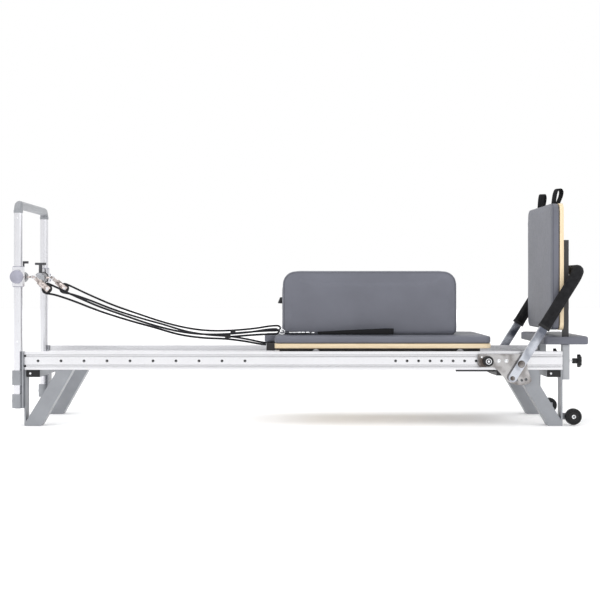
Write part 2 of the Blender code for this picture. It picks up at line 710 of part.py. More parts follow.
def slider(label, side):
    """The height slider of a post: bored block, round hub, clamp knob, pull pin and pulley."""
    slide = joint_empty(label + "_slider_slide", (POST_X, side * POST_Y, SLIDER_AXIS))
    y_mid = side * POST_Y
    outer = rounded((POST_X - SLIDER_HALF, y_mid - SLIDER_HALF), (POST_X + SLIDER_HALF, y_mid + SLIDER_HALF),
                    (0.010,) * 4, steps=3)
    bore = circle((POST_X, y_mid), TUBE_RADIUS + 0.0006)
    block = prism(label + "_slider", [outer, bore], "Z", *SLIDER_Z, WHITE)
    flange = rod(label + "_hub_flange", (POST_X, side * (POST_Y - SLIDER_HALF + 0.003), SLIDER_AXIS),
                 (POST_X, side * (POST_Y - SLIDER_HALF - 0.008), SLIDER_AXIS), 0.025, sides=24)
    hub = rod(label + "_hub", (POST_X, side * (POST_Y - SLIDER_HALF + 0.003), SLIDER_AXIS),
              (POST_X, side * HUB_END, SLIDER_AXIS), HUB_RADIUS, sides=24)
    combine(block, "UNION", [flange, hub])

    knob_profile = [
        (0, 0.024), (0.021, 0.024), (0.0275, 0.0225), (0.029, 0.020), (0.029, 0.011), (0.0255, 0.008),
        (0.013, 0.007), (0.013, 0), (0, 0),
    ]
    knob = turned(label + "_clamp_knob", knob_profile,
                  (POST_X, side * (POST_Y + SLIDER_HALF + GAP), SLIDER_AXIS), (0, side, 0), GREY)

    stem_bottom = SLIDER_AXIS + HUB_RADIUS + GAP
    stem = rod(label + "_pull_pin", (POST_X, side * PIN_Y, stem_bottom), (POST_X, side * PIN_Y, 0.7128),
               0.0085, BLACK, sides=12)
    handle = rod(label + "_pin_handle", (POST_X - 0.026, side * PIN_Y, 0.7128),
                 (POST_X + 0.026, side * PIN_Y, 0.7128), 0.0055, sides=10)
    combine(stem, "UNION", [handle])

    hanger = pulley_hanger(label, side)
    wheel = sheave(label, side)
    attach(slide, block, knob, stem, hanger, wheel)


def pulley_hanger(label, side):
    """The eye bolt, swivel body and two cheeks that carry the rope's sheave, as one welded piece."""
    y = side * PULLEY_Y
    run, drop = SHEAVE[0] - EYE_X, SHEAVE[1] - SLIDER_AXIS
    reach = math.hypot(run, drop)
    along = Vector((run / reach, 0, drop / reach))
    across = Vector((-along.z, 0, along.x))
    eye = Vector((EYE_X, y, SLIDER_AXIS))

    def slab(name, start, end, half_width, y_low, y_high, finish=None):
        outline = [
            eye + along * start - across * half_width, eye + along * end - across * half_width,
            eye + along * end + across * half_width, eye + along * start + across * half_width,
        ]
        return prism(name, [[(p.x, p.z) for p in outline]], "Y", y_low, y_high, finish)

    body = slab(label + "_pulley_hanger", -0.006, 0.047, 0.0075, y - 0.0105, y + 0.0105, CHROME)
    shank = rod(label + "_eye_shank", (POST_X + HUB_RADIUS + GAP, y, SLIDER_AXIS),
                (EYE_X + 0.002, y, SLIDER_AXIS), 0.0045, sides=12)
    cheek_tip = reach + 0.010
    cheeks = [
        slab(f"{label}_cheek", 0.030, cheek_tip, 0.0125, *sorted((y + way * CHEEK_GAP, y + way * 0.0100)))
        for way in (-1, 1)
    ]
    axle = rod(label + "_sheave_axle", (SHEAVE[0], y - 0.009, SHEAVE[1]), (SHEAVE[0], y + 0.009, SHEAVE[1]),
               0.0035, sides=12)
    return combine(body, "UNION", [shank, *cheeks, axle])


def sheave(label, side):
    """The grooved rope wheel on its own axis."""
    half = SHEAVE_WIDTH / 2
    profile = [
        (0.0038, half), (SHEAVE_RADIUS, half), (SHEAVE_RADIUS, half - 0.0012), (SHEAVE_GROOVE, 0.0028),
        (SHEAVE_GROOVE, -0.0028), (SHEAVE_RADIUS, -half + 0.0012), (SHEAVE_RADIUS, -half), (0.0038, -half),
    ]
    centre = (SHEAVE[0], side * PULLEY_Y, SHEAVE[1])
    return turned(label + "_sheave", profile, centre, (0, side, 0), BLACK, closed=True)


def rope(label, side):
    """One rope: from its anchor on the carriage, round the sheave, to the loop of its strap."""
    wrap = [
        (SHEAVE[0] + WRAP_RADIUS * math.cos(math.radians(a)), PULLEY_Y,
         SHEAVE[1] + WRAP_RADIUS * math.sin(math.radians(a)))
        for a in WRAP_ANGLES
    ]
    route = [(x, side * y, z) for x, y, z in (*ANCHOR_STRAND, *wrap, *STRAP_STRAND)]
    return tube(label + "_rope", smooth_route(route, ROPE_STEP), ROPE_RADIUS, ROPE)


def carriage():
    """The rolling bed: steel frame, plywood, pad, headrest, wheels, straps and sitting box."""
    slide = joint_empty("carriage_slide", (0, 0, RAIL_LEDGE))
    beam = box("carriage_frame", (BEAM_X[0], -BEAM_Y[1], BEAM_Z[0]),
               (BEAM_X[1], -BEAM_Y[0], BEAM_Z[1]), STEEL)
    far_beam = box("far_carriage_beam", (BEAM_X[0], BEAM_Y[0], BEAM_Z[0]), (BEAM_X[1], BEAM_Y[1], BEAM_Z[1]))
    ties = [
        box("carriage_tie", (x, -BEAM_Y[1] + 0.002, BEAM_Z[0] + 0.002),
            (x + 0.030, BEAM_Y[1] - 0.002, BEAM_Z[1] - 0.001))
        for x in (BEAM_X[0] + 0.002, SPRING_PLATE_X[0] - 0.030, BEAM_X[1] - 0.032)
    ]
    spring_plate = box("spring_plate", (SPRING_PLATE_X[0], -0.19, SPRING_Z - 0.010),
                       (SPRING_PLATE_X[1], 0.19, BEAM_Z[1] - 0.002))
    bumper = box("rope_bumper", (BUMPER_X[0], -0.20, 0.322), (BUMPER_X[1], 0.20, 0.3545))
    brackets = [
        box("bumper_bracket", (BUMPER_X[0] + 0.01, y - 0.02, 0.3225),
            (BEAM_X[0] + 0.01, y + 0.02, BEAM_Z[1] - 0.001))
        for y in (-0.12, 0.12)
    ]
    combine(beam, "UNION", [*ties, far_beam, spring_plate, bumper, *brackets])

    wood_outline = rounded((PAD_X[0], -PAD_HALF), (PAD_X[1], PAD_HALF), (0.015, 0.035, 0.035, 0.015))
    wood = prism("carriage_board", [wood_outline], "Z", *WOOD_Z, WOOD)
    pad = prism("carriage_pad", [wood_outline], "Z", *PAD_Z, VINYL)
    notch = box("headrest_notch", (PAD_X[0] - 0.02, -HEADREST_HALF - 0.002, PAD_Z[0] - 0.01),
                (HEADREST_X[1] + 0.002, HEADREST_HALF + 0.002, PAD_Z[1] + 0.01))
    combine(pad, "DIFFERENCE", [notch])
    rest_outline = rounded((HEADREST_X[0], -HEADREST_HALF), (HEADREST_X[1], HEADREST_HALF),
                           (0.030, 0.004, 0.004, 0.030))
    headrest = prism("headrest", [rest_outline], "Z", PAD_Z[0], HEADREST_TOP, VINYL)
    attach(slide, beam, wood, pad, headrest)

    for label, side in SIDES:
        for end, x in zip(("head", "foot"), CARRIAGE_WHEEL_X):
            radius = CARRIAGE_WHEEL_RADIUS
            profile = [
                (0, 0.009), (radius - 0.002, 0.009), (radius, 0.007), (radius, -0.007),
                (radius - 0.002, -0.009), (0.006, -0.009), (0.006, -0.0245), (0, -0.0245),
            ]
            wheel = turned(f"{end}_{label}_carriage_wheel", profile,
                           (x, side * 0.300, RAIL_LEDGE + 0.0005 + radius), (0, side, 0), NYLON)
            attach(slide, wheel)
        strap_outline = [
            (-0.070, 0.3905), (0.412, 0.3905), (0.420, 0.402), (0.416, 0.4225), (0.360, 0.4235),
            (0.100, 0.4065), (-0.070, 0.402),
        ]
        low, high = span(side, 0.232, 0.284)
        attach(slide, prism(label + "_foot_strap", [strap_outline], "Y", low, high, ROPE))

    lift = joint_empty("sitting_box_lift", (0.3, 0, BOX_Z[0]))
    box_outline = rounded((BOX_X[0], BOX_Z[0]), (BOX_X[1], BOX_Z[1]), (0.022, 0.022, 0.058, 0.058), steps=6)
    attach(lift, prism("sitting_box", [box_outline], "Y", -BOX_HALF, BOX_HALF, VINYL))
    attach(slide, lift)


def springs():
    """The spring bar under the rails and the springs that run from it to the carriage."""
    bar = box("spring_bar", (SPRING_BAR_X[0], -0.330, SPRING_BAR_Z[0]),
              (SPRING_BAR_X[1], 0.330, SPRING_BAR_Z[1]), STEEL)
    x_low, x_high, half, top = SPRING_WEB
    web = box("spring_web", (x_low, -half, SPRING_BAR_Z[1] - 0.002), (x_high, half, top))
    x_low, x_high, inner, outer, z_low, z_high = SPRING_ARM
    arms = []
    for label, side in SIDES:
        y_low, y_high = span(side, inner, outer)
        arms.append(box(label + "_spring_arm", (x_low, y_low, z_low), (x_high, y_high, z_high)))
    combine(bar, "UNION", [web, *arms])
    for number, y in enumerate(SPRING_ROWS, start=1):
        rod(f"spring_{number}", (SPRING_PLATE_X[1] + GAP, y, SPRING_Z), (SPRING_WEB[0] - GAP, y, SPRING_Z),
            SPRING_RADIUS, STEEL, sides=12)


def reformer():
    """Builds every part."""
    for label, side in SIDES:
        rail(label, side)
        head_leg(label, side)
        foot_leg(label, side)
        transport_wheel(label, side)
        upright(label, side)
        star_knob(label, side)
        footbar_plate(label, side)
        rail_knob(label, side)
        riser_bracket(label, side)
        slider(label, side)
        rope(label, side)
    cross_tube("head_cross_tube", RAIL_HEAD + LEG_PLATE + GAP)
    cross_tube("foot_cross_tube", RAIL_FOOT - LEG_PLATE - GAP - CROSS_WIDTH)
    platform()
    jump_board()
    footbar()
    riser()
    carriage()
    springs()


reformer()
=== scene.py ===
"""Looks of the pilates reformer: materials, upholstery, ropes, springs and small fittings.

Metres, +Z up, in the frame's own axes: +X is the foot end and -Y the near side.
"""

import json
import math

import bmesh
import bpy
import numpy as np
from mathutils import Matrix, Vector
from mathutils.bvhtree import BVHTree

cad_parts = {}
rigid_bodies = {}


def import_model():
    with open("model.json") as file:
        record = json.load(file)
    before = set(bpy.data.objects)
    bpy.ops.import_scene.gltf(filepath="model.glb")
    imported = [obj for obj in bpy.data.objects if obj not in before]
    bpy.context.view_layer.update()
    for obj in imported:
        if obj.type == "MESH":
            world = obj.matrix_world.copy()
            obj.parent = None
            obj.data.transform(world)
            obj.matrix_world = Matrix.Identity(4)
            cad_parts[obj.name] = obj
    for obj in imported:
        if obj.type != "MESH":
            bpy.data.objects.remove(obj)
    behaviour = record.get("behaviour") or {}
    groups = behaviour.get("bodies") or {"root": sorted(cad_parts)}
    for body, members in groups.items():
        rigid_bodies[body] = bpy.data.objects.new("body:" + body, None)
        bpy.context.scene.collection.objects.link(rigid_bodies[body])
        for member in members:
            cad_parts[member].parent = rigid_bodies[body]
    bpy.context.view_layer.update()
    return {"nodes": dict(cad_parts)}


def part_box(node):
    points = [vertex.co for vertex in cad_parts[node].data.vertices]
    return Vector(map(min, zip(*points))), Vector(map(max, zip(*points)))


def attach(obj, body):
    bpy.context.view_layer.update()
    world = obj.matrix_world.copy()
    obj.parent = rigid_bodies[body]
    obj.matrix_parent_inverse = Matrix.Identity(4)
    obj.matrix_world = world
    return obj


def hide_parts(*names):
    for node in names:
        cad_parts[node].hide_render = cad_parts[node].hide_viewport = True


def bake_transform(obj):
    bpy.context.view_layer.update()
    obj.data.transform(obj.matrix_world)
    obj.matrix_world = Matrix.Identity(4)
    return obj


for leftover in list(bpy.data.objects):
    bpy.data.objects.remove(leftover, do_unlink=True)
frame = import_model()
NODES = frame["nodes"]

SIDES = (("near", -1), ("far", 1))
X, Y, Z = Vector((1, 0, 0)), Vector((0, 1, 0)), Vector((0, 0, 1))

# Places shared with the CAD
PIVOT = Vector((0.955, 0, 0.271))
GRIP_BAR = Vector((1.208, 0, 0.675))
POST_X, POST_Y = -1.2265, 0.325
SLIDER_HALF = 0.0245
SLIDER_AXIS = 0.648
EYE_X = -1.1745
SHEAVE = Vector((-1.115, 0, 0.597))
PULLEY_Y = 0.238
SPRING_ROWS = (-0.15, -0.05, 0.05, 0.15)
SPRING_Z = 0.2505
SPRING_ENDS = (0.4465, 0.8548)
STRAP_LOOP_X = 1.138
STRAP_LOOP_Y = 0.200
STRAP_TURN = {"near": 35, "far": 60}
RAIL_FACE_Y = 0.335
GROOVE_BOTTOMS = (0.255, 0.299)
HOLE_HEIGHT = 0.2827
RAIL_HOLES = ((-1.139, 0.100, 10), (0.4155, 0.050, 8))
PLATE_FACE_Y = 0.3556
HUB_END_Y = 0.200
WHEEL_AXLES = (0.070, 0.700)
FOOT_STRAP_Y = 0.258
BOX_HANDLE_Z = 0.543

# Ropes: the CAD tubes' own routes, written for the far side
ROPE_RADIUS = 0.0045
ROPE_STEP = 0.010
WRAP_RADIUS = 0.0155 + ROPE_RADIUS + 0.0017
WRAP_ANGLES = (246, 215, 184, 153, 122, 91, 60)
ANCHOR_STRAND = (
    (-0.1502, 0.100, 0.345), (-0.177, 0.107, 0.347), (-0.254, 0.134, 0.3615),
    (-0.332, 0.162, 0.372), (-0.434, 0.195, 0.3785), (-0.535, 0.218, 0.394),
    (-0.645, 0.229, 0.4255), (-0.764, 0.233, 0.459), (-0.884, 0.235, 0.4975),
    (-0.994, 0.237, 0.540), (-1.075, 0.238, 0.5675),
)
STRAP_STRAND = (
    (-1.0706, 0.238, 0.6005), (-0.993, 0.240, 0.5640), (-0.884, 0.243, 0.5172),
    (-0.763, 0.247, 0.4745), (-0.643, 0.250, 0.4354), (-0.532, 0.253, 0.4085),
    (-0.430, 0.256, 0.3965), (-0.328, 0.260, 0.3970), (-0.220, 0.266, 0.4060),
    (-0.150, 0.270, 0.4165), (-0.110, 0.270, 0.4195), (-0.0977, 0.2662, 0.4161),
    (-0.0926, 0.257, 0.408), (-0.0977, 0.2478, 0.3999), (-0.110, 0.244, 0.3965),
    (-0.160, 0.243, 0.3950), (-0.220, 0.246, 0.3915), (-0.320, 0.250, 0.3840),
)
WRAP_SPLIT_X = -0.94

SEAM_RADIUS = 0.0011

# Screw profile: (radius, height), both for a screw of radius 1
BOLT_PROFILE = (
    (0, 0.35), (0.42, 0.35), (0.45, 0.62), (0.75, 0.60), (0.98, 0.35), (1, 0.16),
    (1.3, 0.16), (1.35, 0.05), (1.35, -0.05),
)


class Look:
    """A Principled material built from real-scale procedural detail."""

    def __init__(self, name, colour, roughness, metallic=0.0, **sockets):
        self.material = bpy.data.materials.new(name)
        self.material.use_nodes = True
        self.nodes = self.material.node_tree.nodes
        self.links = self.material.node_tree.links
        self.shader = self.nodes["Principled BSDF"]
        self.shader.inputs["Base Color"].default_value = (*colour, 1)
        self.shader.inputs["Roughness"].default_value = roughness
        self.shader.inputs["Metallic"].default_value = metallic
        for socket, value in sockets.items():
            self.shader.inputs[socket.replace("_", " ")].default_value = value
        self.coords = self.nodes.new("ShaderNodeTexCoord")
        self.last_bump = None

    def place(self, stretch=(1, 1, 1), uv=False):
        """Coordinates in metres, stretched along each axis."""
        mapping = self.nodes.new("ShaderNodeMapping")
        mapping.inputs["Scale"].default_value = stretch
        self.links.new(self.coords.outputs["UV" if uv else "Object"], mapping.inputs["Vector"])
        return mapping.outputs["Vector"]

    def noise(self, scale, stretch=(1, 1, 1), detail=3.0):
        """Soft noise with scale features to the metre."""
        texture = self.nodes.new("ShaderNodeTexNoise")
        texture.inputs["Scale"].default_value = scale
        texture.inputs["Detail"].default_value = detail
        self.links.new(self.place(stretch), texture.inputs["Vector"])
        return texture.outputs["Fac"]

    def cells(self, scale):
        """Rounded cells, as in leather grain or foam."""
        texture = self.nodes.new("ShaderNodeTexVoronoi")
        texture.feature = "SMOOTH_F1"
        texture.inputs["Scale"].default_value = scale
        self.links.new(self.place(), texture.inputs["Vector"])
        return texture.outputs["Distance"]

    def bands(self, direction, per_metre, distortion=0.0, uv=False):
        """Even bands across a direction."""
        texture = self.nodes.new("ShaderNodeTexWave")
        texture.bands_direction = direction
        texture.inputs["Scale"].default_value = per_metre * 0.314
        texture.inputs["Distortion"].default_value = distortion
        self.links.new(self.place(uv=uv), texture.inputs["Vector"])
        return texture.outputs["Fac"]

    def math(self, operation, first, second=None):
        """One Math node on sockets or numbers."""
        node = self.nodes.new("ShaderNodeMath")
        node.operation = operation
        for socket, value in zip(node.inputs, (first, second)):
            if value is None:
                continue
            if isinstance(value, (int, float)):
                socket.default_value = value
            else:
                self.links.new(value, socket)
        return node.outputs[0]

    def braid(self, pitch, strands, around):
        """Crossing diagonal strands along a rope's UV, whose U and V are metres."""
        split = self.nodes.new("ShaderNodeSeparateXYZ")
        self.links.new(self.place(uv=True), split.inputs[0])
        along = self.math("MULTIPLY", split.outputs["X"], 2 * math.pi / pitch)
        across = self.math("MULTIPLY", split.outputs["Y"], 2 * math.pi * strands / around)
        left = self.math("SINE", self.math("ADD", along, across))
        right = self.math("SINE", self.math("SUBTRACT", along, across))
        return self.math("MULTIPLY", self.math("MAXIMUM", left, right), 0.5)

    def tint(self, factor, low, high, start=0.3, end=0.7):
        """Base colour that runs between two colours."""
        ramp = self.nodes.new("ShaderNodeValToRGB")
        ramp.color_ramp.elements[0].position = start
        ramp.color_ramp.elements[1].position = end
        ramp.color_ramp.elements[0].color = (*low, 1)
        ramp.color_ramp.elements[1].color = (*high, 1)
        self.links.new(factor, ramp.inputs["Fac"])
        self.links.new(ramp.outputs["Color"], self.shader.inputs["Base Color"])
        return self

    def rough(self, factor, low, high):
        """Roughness that runs between two values."""
        spread = self.nodes.new("ShaderNodeMapRange")
        spread.inputs["To Min"].default_value = low
        spread.inputs["To Max"].default_value = high
        self.links.new(factor, spread.inputs["Value"])
        self.links.new(spread.outputs["Result"], self.shader.inputs["Roughness"])
        return self

    def bump(self, factor, depth, strength=1.0):
        """Relief of a given depth in metres, on top of any before it."""
        node = self.nodes.new("ShaderNodeBump")
        node.inputs["Distance"].default_value = depth
        node.inputs["Strength"].default_value = strength
        self.links.new(factor, node.inputs["Height"])
        if self.last_bump:
            self.links.new(self.last_bump.outputs["Normal"], node.inputs["Normal"])
        self.links.new(node.outputs["Normal"], self.shader.inputs["Normal"])
        self.last_bump = node
        return self


def brushed(name, colour, low, high, metallic, stretch=(1, 40, 40)):
    """Anodised or brushed metal with fine lines along the least stretched axis."""
    look = Look(name, colour, low, metallic)
    lines = look.noise(60, stretch, 2.0)
    look.rough(lines, low, high)
    look.bump(lines, 0.000004)
    return look.tint(look.noise(7), [c * 0.98 for c in colour], [min(1, c * 1.01) for c in colour])


def painted(name, colour, roughness, metallic=0.0):
    """Powder coat: fine orange peel, a little unevenness in gloss and colour."""
    look = Look(name, colour, roughness, metallic, Coat_Weight=0.15, Coat_Roughness=0.3)
    look.rough(look.noise(9), roughness - 0.06, roughness + 0.08)
    look.tint(look.noise(16), [c * 0.93 for c in colour], [min(1, c * 1.05) for c in colour])
    return look.bump(look.noise(900, detail=1.0), 0.00004)


def polished(name, colour, roughness):
    """Chrome with faint wipe marks."""
    look = Look(name, colour, roughness, 1.0)
    look.rough(look.noise(35, (1, 6, 6)), roughness, roughness + 0.10)
    return look.bump(look.noise(1200, detail=1.0), 0.000008)


def chrome_painted_reflections(name, dark, light, scale, roughness):
    """Chrome whose base colour carries soft dark and light streaks: painted reflections of its surroundings.
    """
    look = polished(name, light, roughness)
    # Painted reflection: the base colour runs from dark to light in soft noise streaks.
    return look.tint(look.noise(scale, detail=2.0), dark, light, 0.36, 0.62)


def moulded(name, colour, roughness):
    """Spark-textured moulded plastic or rubber."""
    look = Look(name, colour, roughness, Specular_IOR_Level=0.3)
    look.rough(look.noise(80), roughness - 0.06, roughness + 0.08)
    look.tint(look.noise(30), [c * 0.85 for c in colour], [min(1, c * 1.15) for c in colour])
    return look.bump(look.cells(1400), 0.00007)


def vinyl():
    """Upholstery vinyl: pebbled grain over soft foam, with a low sheen."""
    look = Look("vinyl", (0.120, 0.125, 0.150), 0.5, Sheen_Weight=0.04, Specular_IOR_Level=0.38)
    look.tint(look.noise(5, detail=4.0), (0.110, 0.114, 0.138), (0.132, 0.137, 0.166))
    look.rough(look.noise(60), 0.44, 0.58)
    look.bump(look.noise(24), 0.0006)
    return look.bump(look.cells(640), 0.00022)


def plywood(name, layers, stretch):
    """Lacquered birch: long grain, and thin layers on the edges."""
    look = Look(name, (0.80, 0.62, 0.38), 0.42, Coat_Weight=0.25, Coat_Roughness=0.25)
    grain = look.noise(22, stretch, 6.0)
    plies = look.bands(layers, 330, 0.4)
    mixed = look.math("ADD", look.math("MULTIPLY", grain, 0.62), look.math("MULTIPLY", plies, 0.38))
    look.tint(mixed, (0.62, 0.47, 0.28), (0.82, 0.69, 0.49), 0.25, 0.75)
    look.rough(grain, 0.36, 0.52)
    return look.bump(mixed, 0.00008)


def webbing():
    """Woven strap: ribs across the width and ridges along it."""
    look = Look("webbing", (0.012, 0.012, 0.014), 0.85, Sheen_Weight=0.03, Specular_IOR_Level=0.15)
    ribs = look.bands("X", 620, uv=True)
    ridges = look.bands("Y", 420, uv=True)
    weave = look.math("MULTIPLY", ribs, ridges)
    look.tint(weave, (0.005, 0.005, 0.006), (0.024, 0.024, 0.028), 0.1, 0.9)
    return look.bump(weave, 0.00035)


def rope_look():
    """Braided cord."""
    look = Look("rope", (0.012, 0.012, 0.014), 0.85, Sheen_Weight=0.03, Specular_IOR_Level=0.15)
    strands = look.braid(0.0065, 6, 2 * math.pi * ROPE_RADIUS)
    look.tint(strands, (0.004, 0.004, 0.005), (0.026, 0.026, 0.031), 0.0, 0.5)
    return look.bump(strands, 0.0006)


def foam():
    """Closed-cell foam sleeve with a slightly shiny skin."""
    look = Look("foam", (0.008, 0.008, 0.009), 0.9, Specular_IOR_Level=0.18)
    look.tint(look.noise(40), (0.008, 0.008, 0.009), (0.018, 0.018, 0.020))
    look.bump(look.noise(260), 0.0002)
    return look.bump(look.cells(1500), 0.00018)


ANODISED = brushed("anodised", (0.70, 0.70, 0.72), 0.22, 0.36, 0.9)
BRIGHT = brushed("bright_tube", (0.70, 0.70, 0.73), 0.16, 0.26, 0.9, (40, 40, 1))
SILVER = painted("silver_paint", (0.27, 0.28, 0.30), 0.42, 0.35)
SPECKLE = painted("light_paint", (0.34, 0.35, 0.37), 0.45, 0.25)
CHROME = polished("chrome", (0.78, 0.79, 0.81), 0.07)
# Painted reflection: warm dark and light streaks in this chrome's base colour stand in for reflected
# surroundings.
WARM_CHROME = chrome_painted_reflections("warm_chrome", (0.16, 0.13, 0.12), (0.74, 0.66, 0.63), 60, 0.14)
STEEL = painted("dark_steel", (0.022, 0.020, 0.022), 0.55)
SPRING_STEEL = brushed("spring_steel", (0.34, 0.34, 0.36), 0.25, 0.4, 0.9)
BLACK = moulded("black_plastic", (0.010, 0.010, 0.011), 0.42)
CHARCOAL = moulded("charcoal_plastic", (0.060, 0.060, 0.066), 0.45)
# Painted reflection: dark brownish and light streaks on the footbar plates, bluish ones on the arms, in place
# of reflected surroundings.
PLATE_CHROME = chrome_painted_reflections("plate_chrome", (0.085, 0.070, 0.062), (0.42, 0.41, 0.41), 15, 0.12)
ARM_CHROME = chrome_painted_reflections("arm_chrome", (0.12, 0.13, 0.16), (0.50, 0.52, 0.57), 14, 0.09)
HUB_GREY = painted("hub_grey", (0.13, 0.13, 0.14), 0.4, 0.5)
GREY = moulded("grey_plastic", (0.30, 0.30, 0.36), 0.5)
RUBBER = moulded("rubber", (0.014, 0.014, 0.015), 0.7)
NYLON = moulded("nylon", (0.26, 0.26, 0.27), 0.45)
VINYL = vinyl()
SEAM = moulded("seam_thread", (0.085, 0.088, 0.105), 0.75)
PLY_FLAT = plywood("ply_flat", "Z", (0.3, 5, 5))
PLY_UPRIGHT = plywood("ply_upright", "X", (5, 5, 0.3))
WEBBING = webbing()
ROPE = rope_look()
FOAM = foam()

NODE_LOOKS = {
    ANODISED: ("near_rail", "far_rail"),
    SILVER: (
        "head_cross_tube", "foot_cross_tube", "head_near_leg", "head_far_leg", "foot_near_leg",
        "foot_far_leg", "near_riser_bracket", "far_riser_bracket", "riser_top_bar",
    ),
    SPECKLE: ("near_upright", "far_upright"),
    BRIGHT: ("near_post", "far_post", "near_slider", "far_slider"),
    WARM_CHROME: ("near_pulley_hanger", "far_pulley_hanger"),
    ARM_CHROME: ("near_footbar_arm", "far_footbar_arm"),
    PLATE_CHROME: ("near_footbar_plate", "far_footbar_plate"),
    CHARCOAL: ("near_pull_pin", "far_pull_pin"),
    STEEL: ("spring_bar", "board_frame", "carriage_frame"),
    BLACK: ("near_rail_knob", "far_rail_knob", "near_sheave", "far_sheave"),
    GREY: ("near_clamp_knob", "far_clamp_knob"),
    FOAM: ("footbar_grip",),
    PLY_FLAT: ("carriage_board",),
    PLY_UPRIGHT: ("board_wood",),
    RUBBER: ("near_transport_wheel", "far_transport_wheel"),
    NYLON: (
        "head_near_carriage_wheel", "head_far_carriage_wheel", "foot_near_carriage_wheel",
        "foot_far_carriage_wheel",
    ),
}
EDGE_ROUNDING = {
    "near_rail": 0.0008, "far_rail": 0.0008, "carriage_board": 0.0015, "board_wood": 0.0015,
    "near_slider": 0.0015, "far_slider": 0.0015, "near_footbar_arm": 0.0015, "far_footbar_arm": 0.0015,
    "near_footbar_plate": 0.0006, "far_footbar_plate": 0.0006, "near_upright": 0.0012,
    "far_upright": 0.0012, "head_near_leg": 0.0020, "head_far_leg": 0.0020, "foot_near_leg": 0.0020,
    "foot_far_leg": 0.0020, "near_pulley_hanger": 0.0012, "far_pulley_hanger": 0.0012,
    "board_frame": 0.0015, "carriage_frame": 0.0015, "spring_bar": 0.0015,
}


def dress_node(name, look):
    """Gives a CAD node its material, soft edges and smooth round faces."""
    obj = NODES[name]
    for material_slot in obj.material_slots:
        material_slot.material = look.material
    weld = obj.modifiers.new("weld", "WELD")
    weld.merge_threshold = 0.00001
    if name in EDGE_ROUNDING:
        rounding = obj.modifiers.new("rounding", "BEVEL")
        rounding.width = EDGE_ROUNDING[name]
        rounding.segments = 2
        rounding.limit_method = "ANGLE"
        rounding.angle_limit = math.radians(40)


def new_piece(name, mesh, look, body, slot, *replaced):
    """A visual piece that rides on a body and may stand for CAD nodes."""
    mesh.materials.clear()
    mesh.materials.append(look.material)
    obj = bpy.data.objects.new(name, mesh)
    bpy.context.scene.collection.objects.link(obj)
    if body:
        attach(obj, body)
    if replaced:
        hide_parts(*replaced)
    return obj


def finished_mesh(name, work, angle=35):
    """A bmesh as a mesh, with round faces smooth and corners sharp."""
    bmesh.ops.recalc_face_normals(work, faces=work.faces)
    mesh = bpy.data.meshes.new(name)
    work.to_mesh(mesh)
    work.free()
    mesh.shade_smooth()
    mesh.set_sharp_from_angle(angle=math.radians(angle))
    return mesh


def bevelled(work, width, angle=40):
    """Rounds every corner sharper than an angle."""
    edges = [e for e in work.edges if len(e.link_faces) == 2 and e.calc_face_angle() > math.radians(angle)]
    bmesh.ops.bevel(
        work, geom=edges, offset=width, offset_type="OFFSET", segments=2, profile=0.5,
        affect="EDGES", clamp_overlap=True,
    )


def add_lathe(work, profile, centre, axis, steps=28):
    """Adds (radius, height) points, turned about an axis through centre, to a bmesh."""
    turn = Vector(axis).to_track_quat("Z", "Y").to_matrix().to_4x4()
    place = Matrix.Translation(centre) @ turn
    part = bmesh.new()
    verts = [part.verts.new(place @ Vector((r, 0, h))) for r, h in profile]
    edges = [part.edges.new(pair) for pair in zip(verts, verts[1:])]
    bmesh.ops.spin(
        part, geom=verts + edges, cent=Vector(centre), axis=Vector(axis), angle=2 * math.pi,
        steps=steps, use_merge=True,
    )
    bmesh.ops.remove_doubles(part, verts=part.verts, dist=0.00001)
    merge(work, part)


def add_piece(name, work, look, body, slot, *replaced, angle=35):
    """A visual piece from a bmesh."""
    return new_piece(name, finished_mesh(name, work, angle), look, body, slot, *replaced)


def turned(name, profile, centre, axis, look, body, slot):
    """A visual piece that is one turned shape."""
    work = bmesh.new()
    add_lathe(work, profile, centre, axis)
    return add_piece(name, work, look, body, slot)


def outer_centre(node, side):
    """The middle of a node's face that looks outward."""
    low, high = (Vector(corner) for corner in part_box(node))
    centre = (low + high) / 2
    centre.y = high.y if side > 0 else low.y
    return centre


def oval(centre, across, up, steps):
    """Points round an ellipse, from its centre and two half axes."""
    turns = [2 * math.pi * i / steps for i in range(steps)]
    return [Vector(centre) + Vector(across) * math.cos(t) + Vector(up) * math.sin(t) for t in turns]


def add_plate(work, outline, normal, up, centre, thickness, rounding):
    """A plate from an outline of (across, up) points round centre, thick along the normal."""
    normal, up = Vector(normal), Vector(up)
    across = up.cross(normal)
    part = bmesh.new()
    verts = [
        part.verts.new(Vector(centre) + across * a + up * b - normal * thickness / 2)
        for a, b in outline
    ]
    face = part.faces.new(verts)
    grown = bmesh.ops.extrude_face_region(part, geom=[face])
    moved = [g for g in grown["geom"] if isinstance(g, bmesh.types.BMVert)]
    bmesh.ops.translate(part, verts=moved, vec=normal * thickness)
    bmesh.ops.recalc_face_normals(part, faces=part.faces)
    if rounding:
        bevelled(part, rounding)
    merge(work, part)


def merge(work, part):
    """Adds one bmesh to another and frees it."""
    held = bpy.data.meshes.new("held")
    part.to_mesh(held)
    part.free()
    work.from_mesh(held)
    bpy.data.meshes.remove(held)


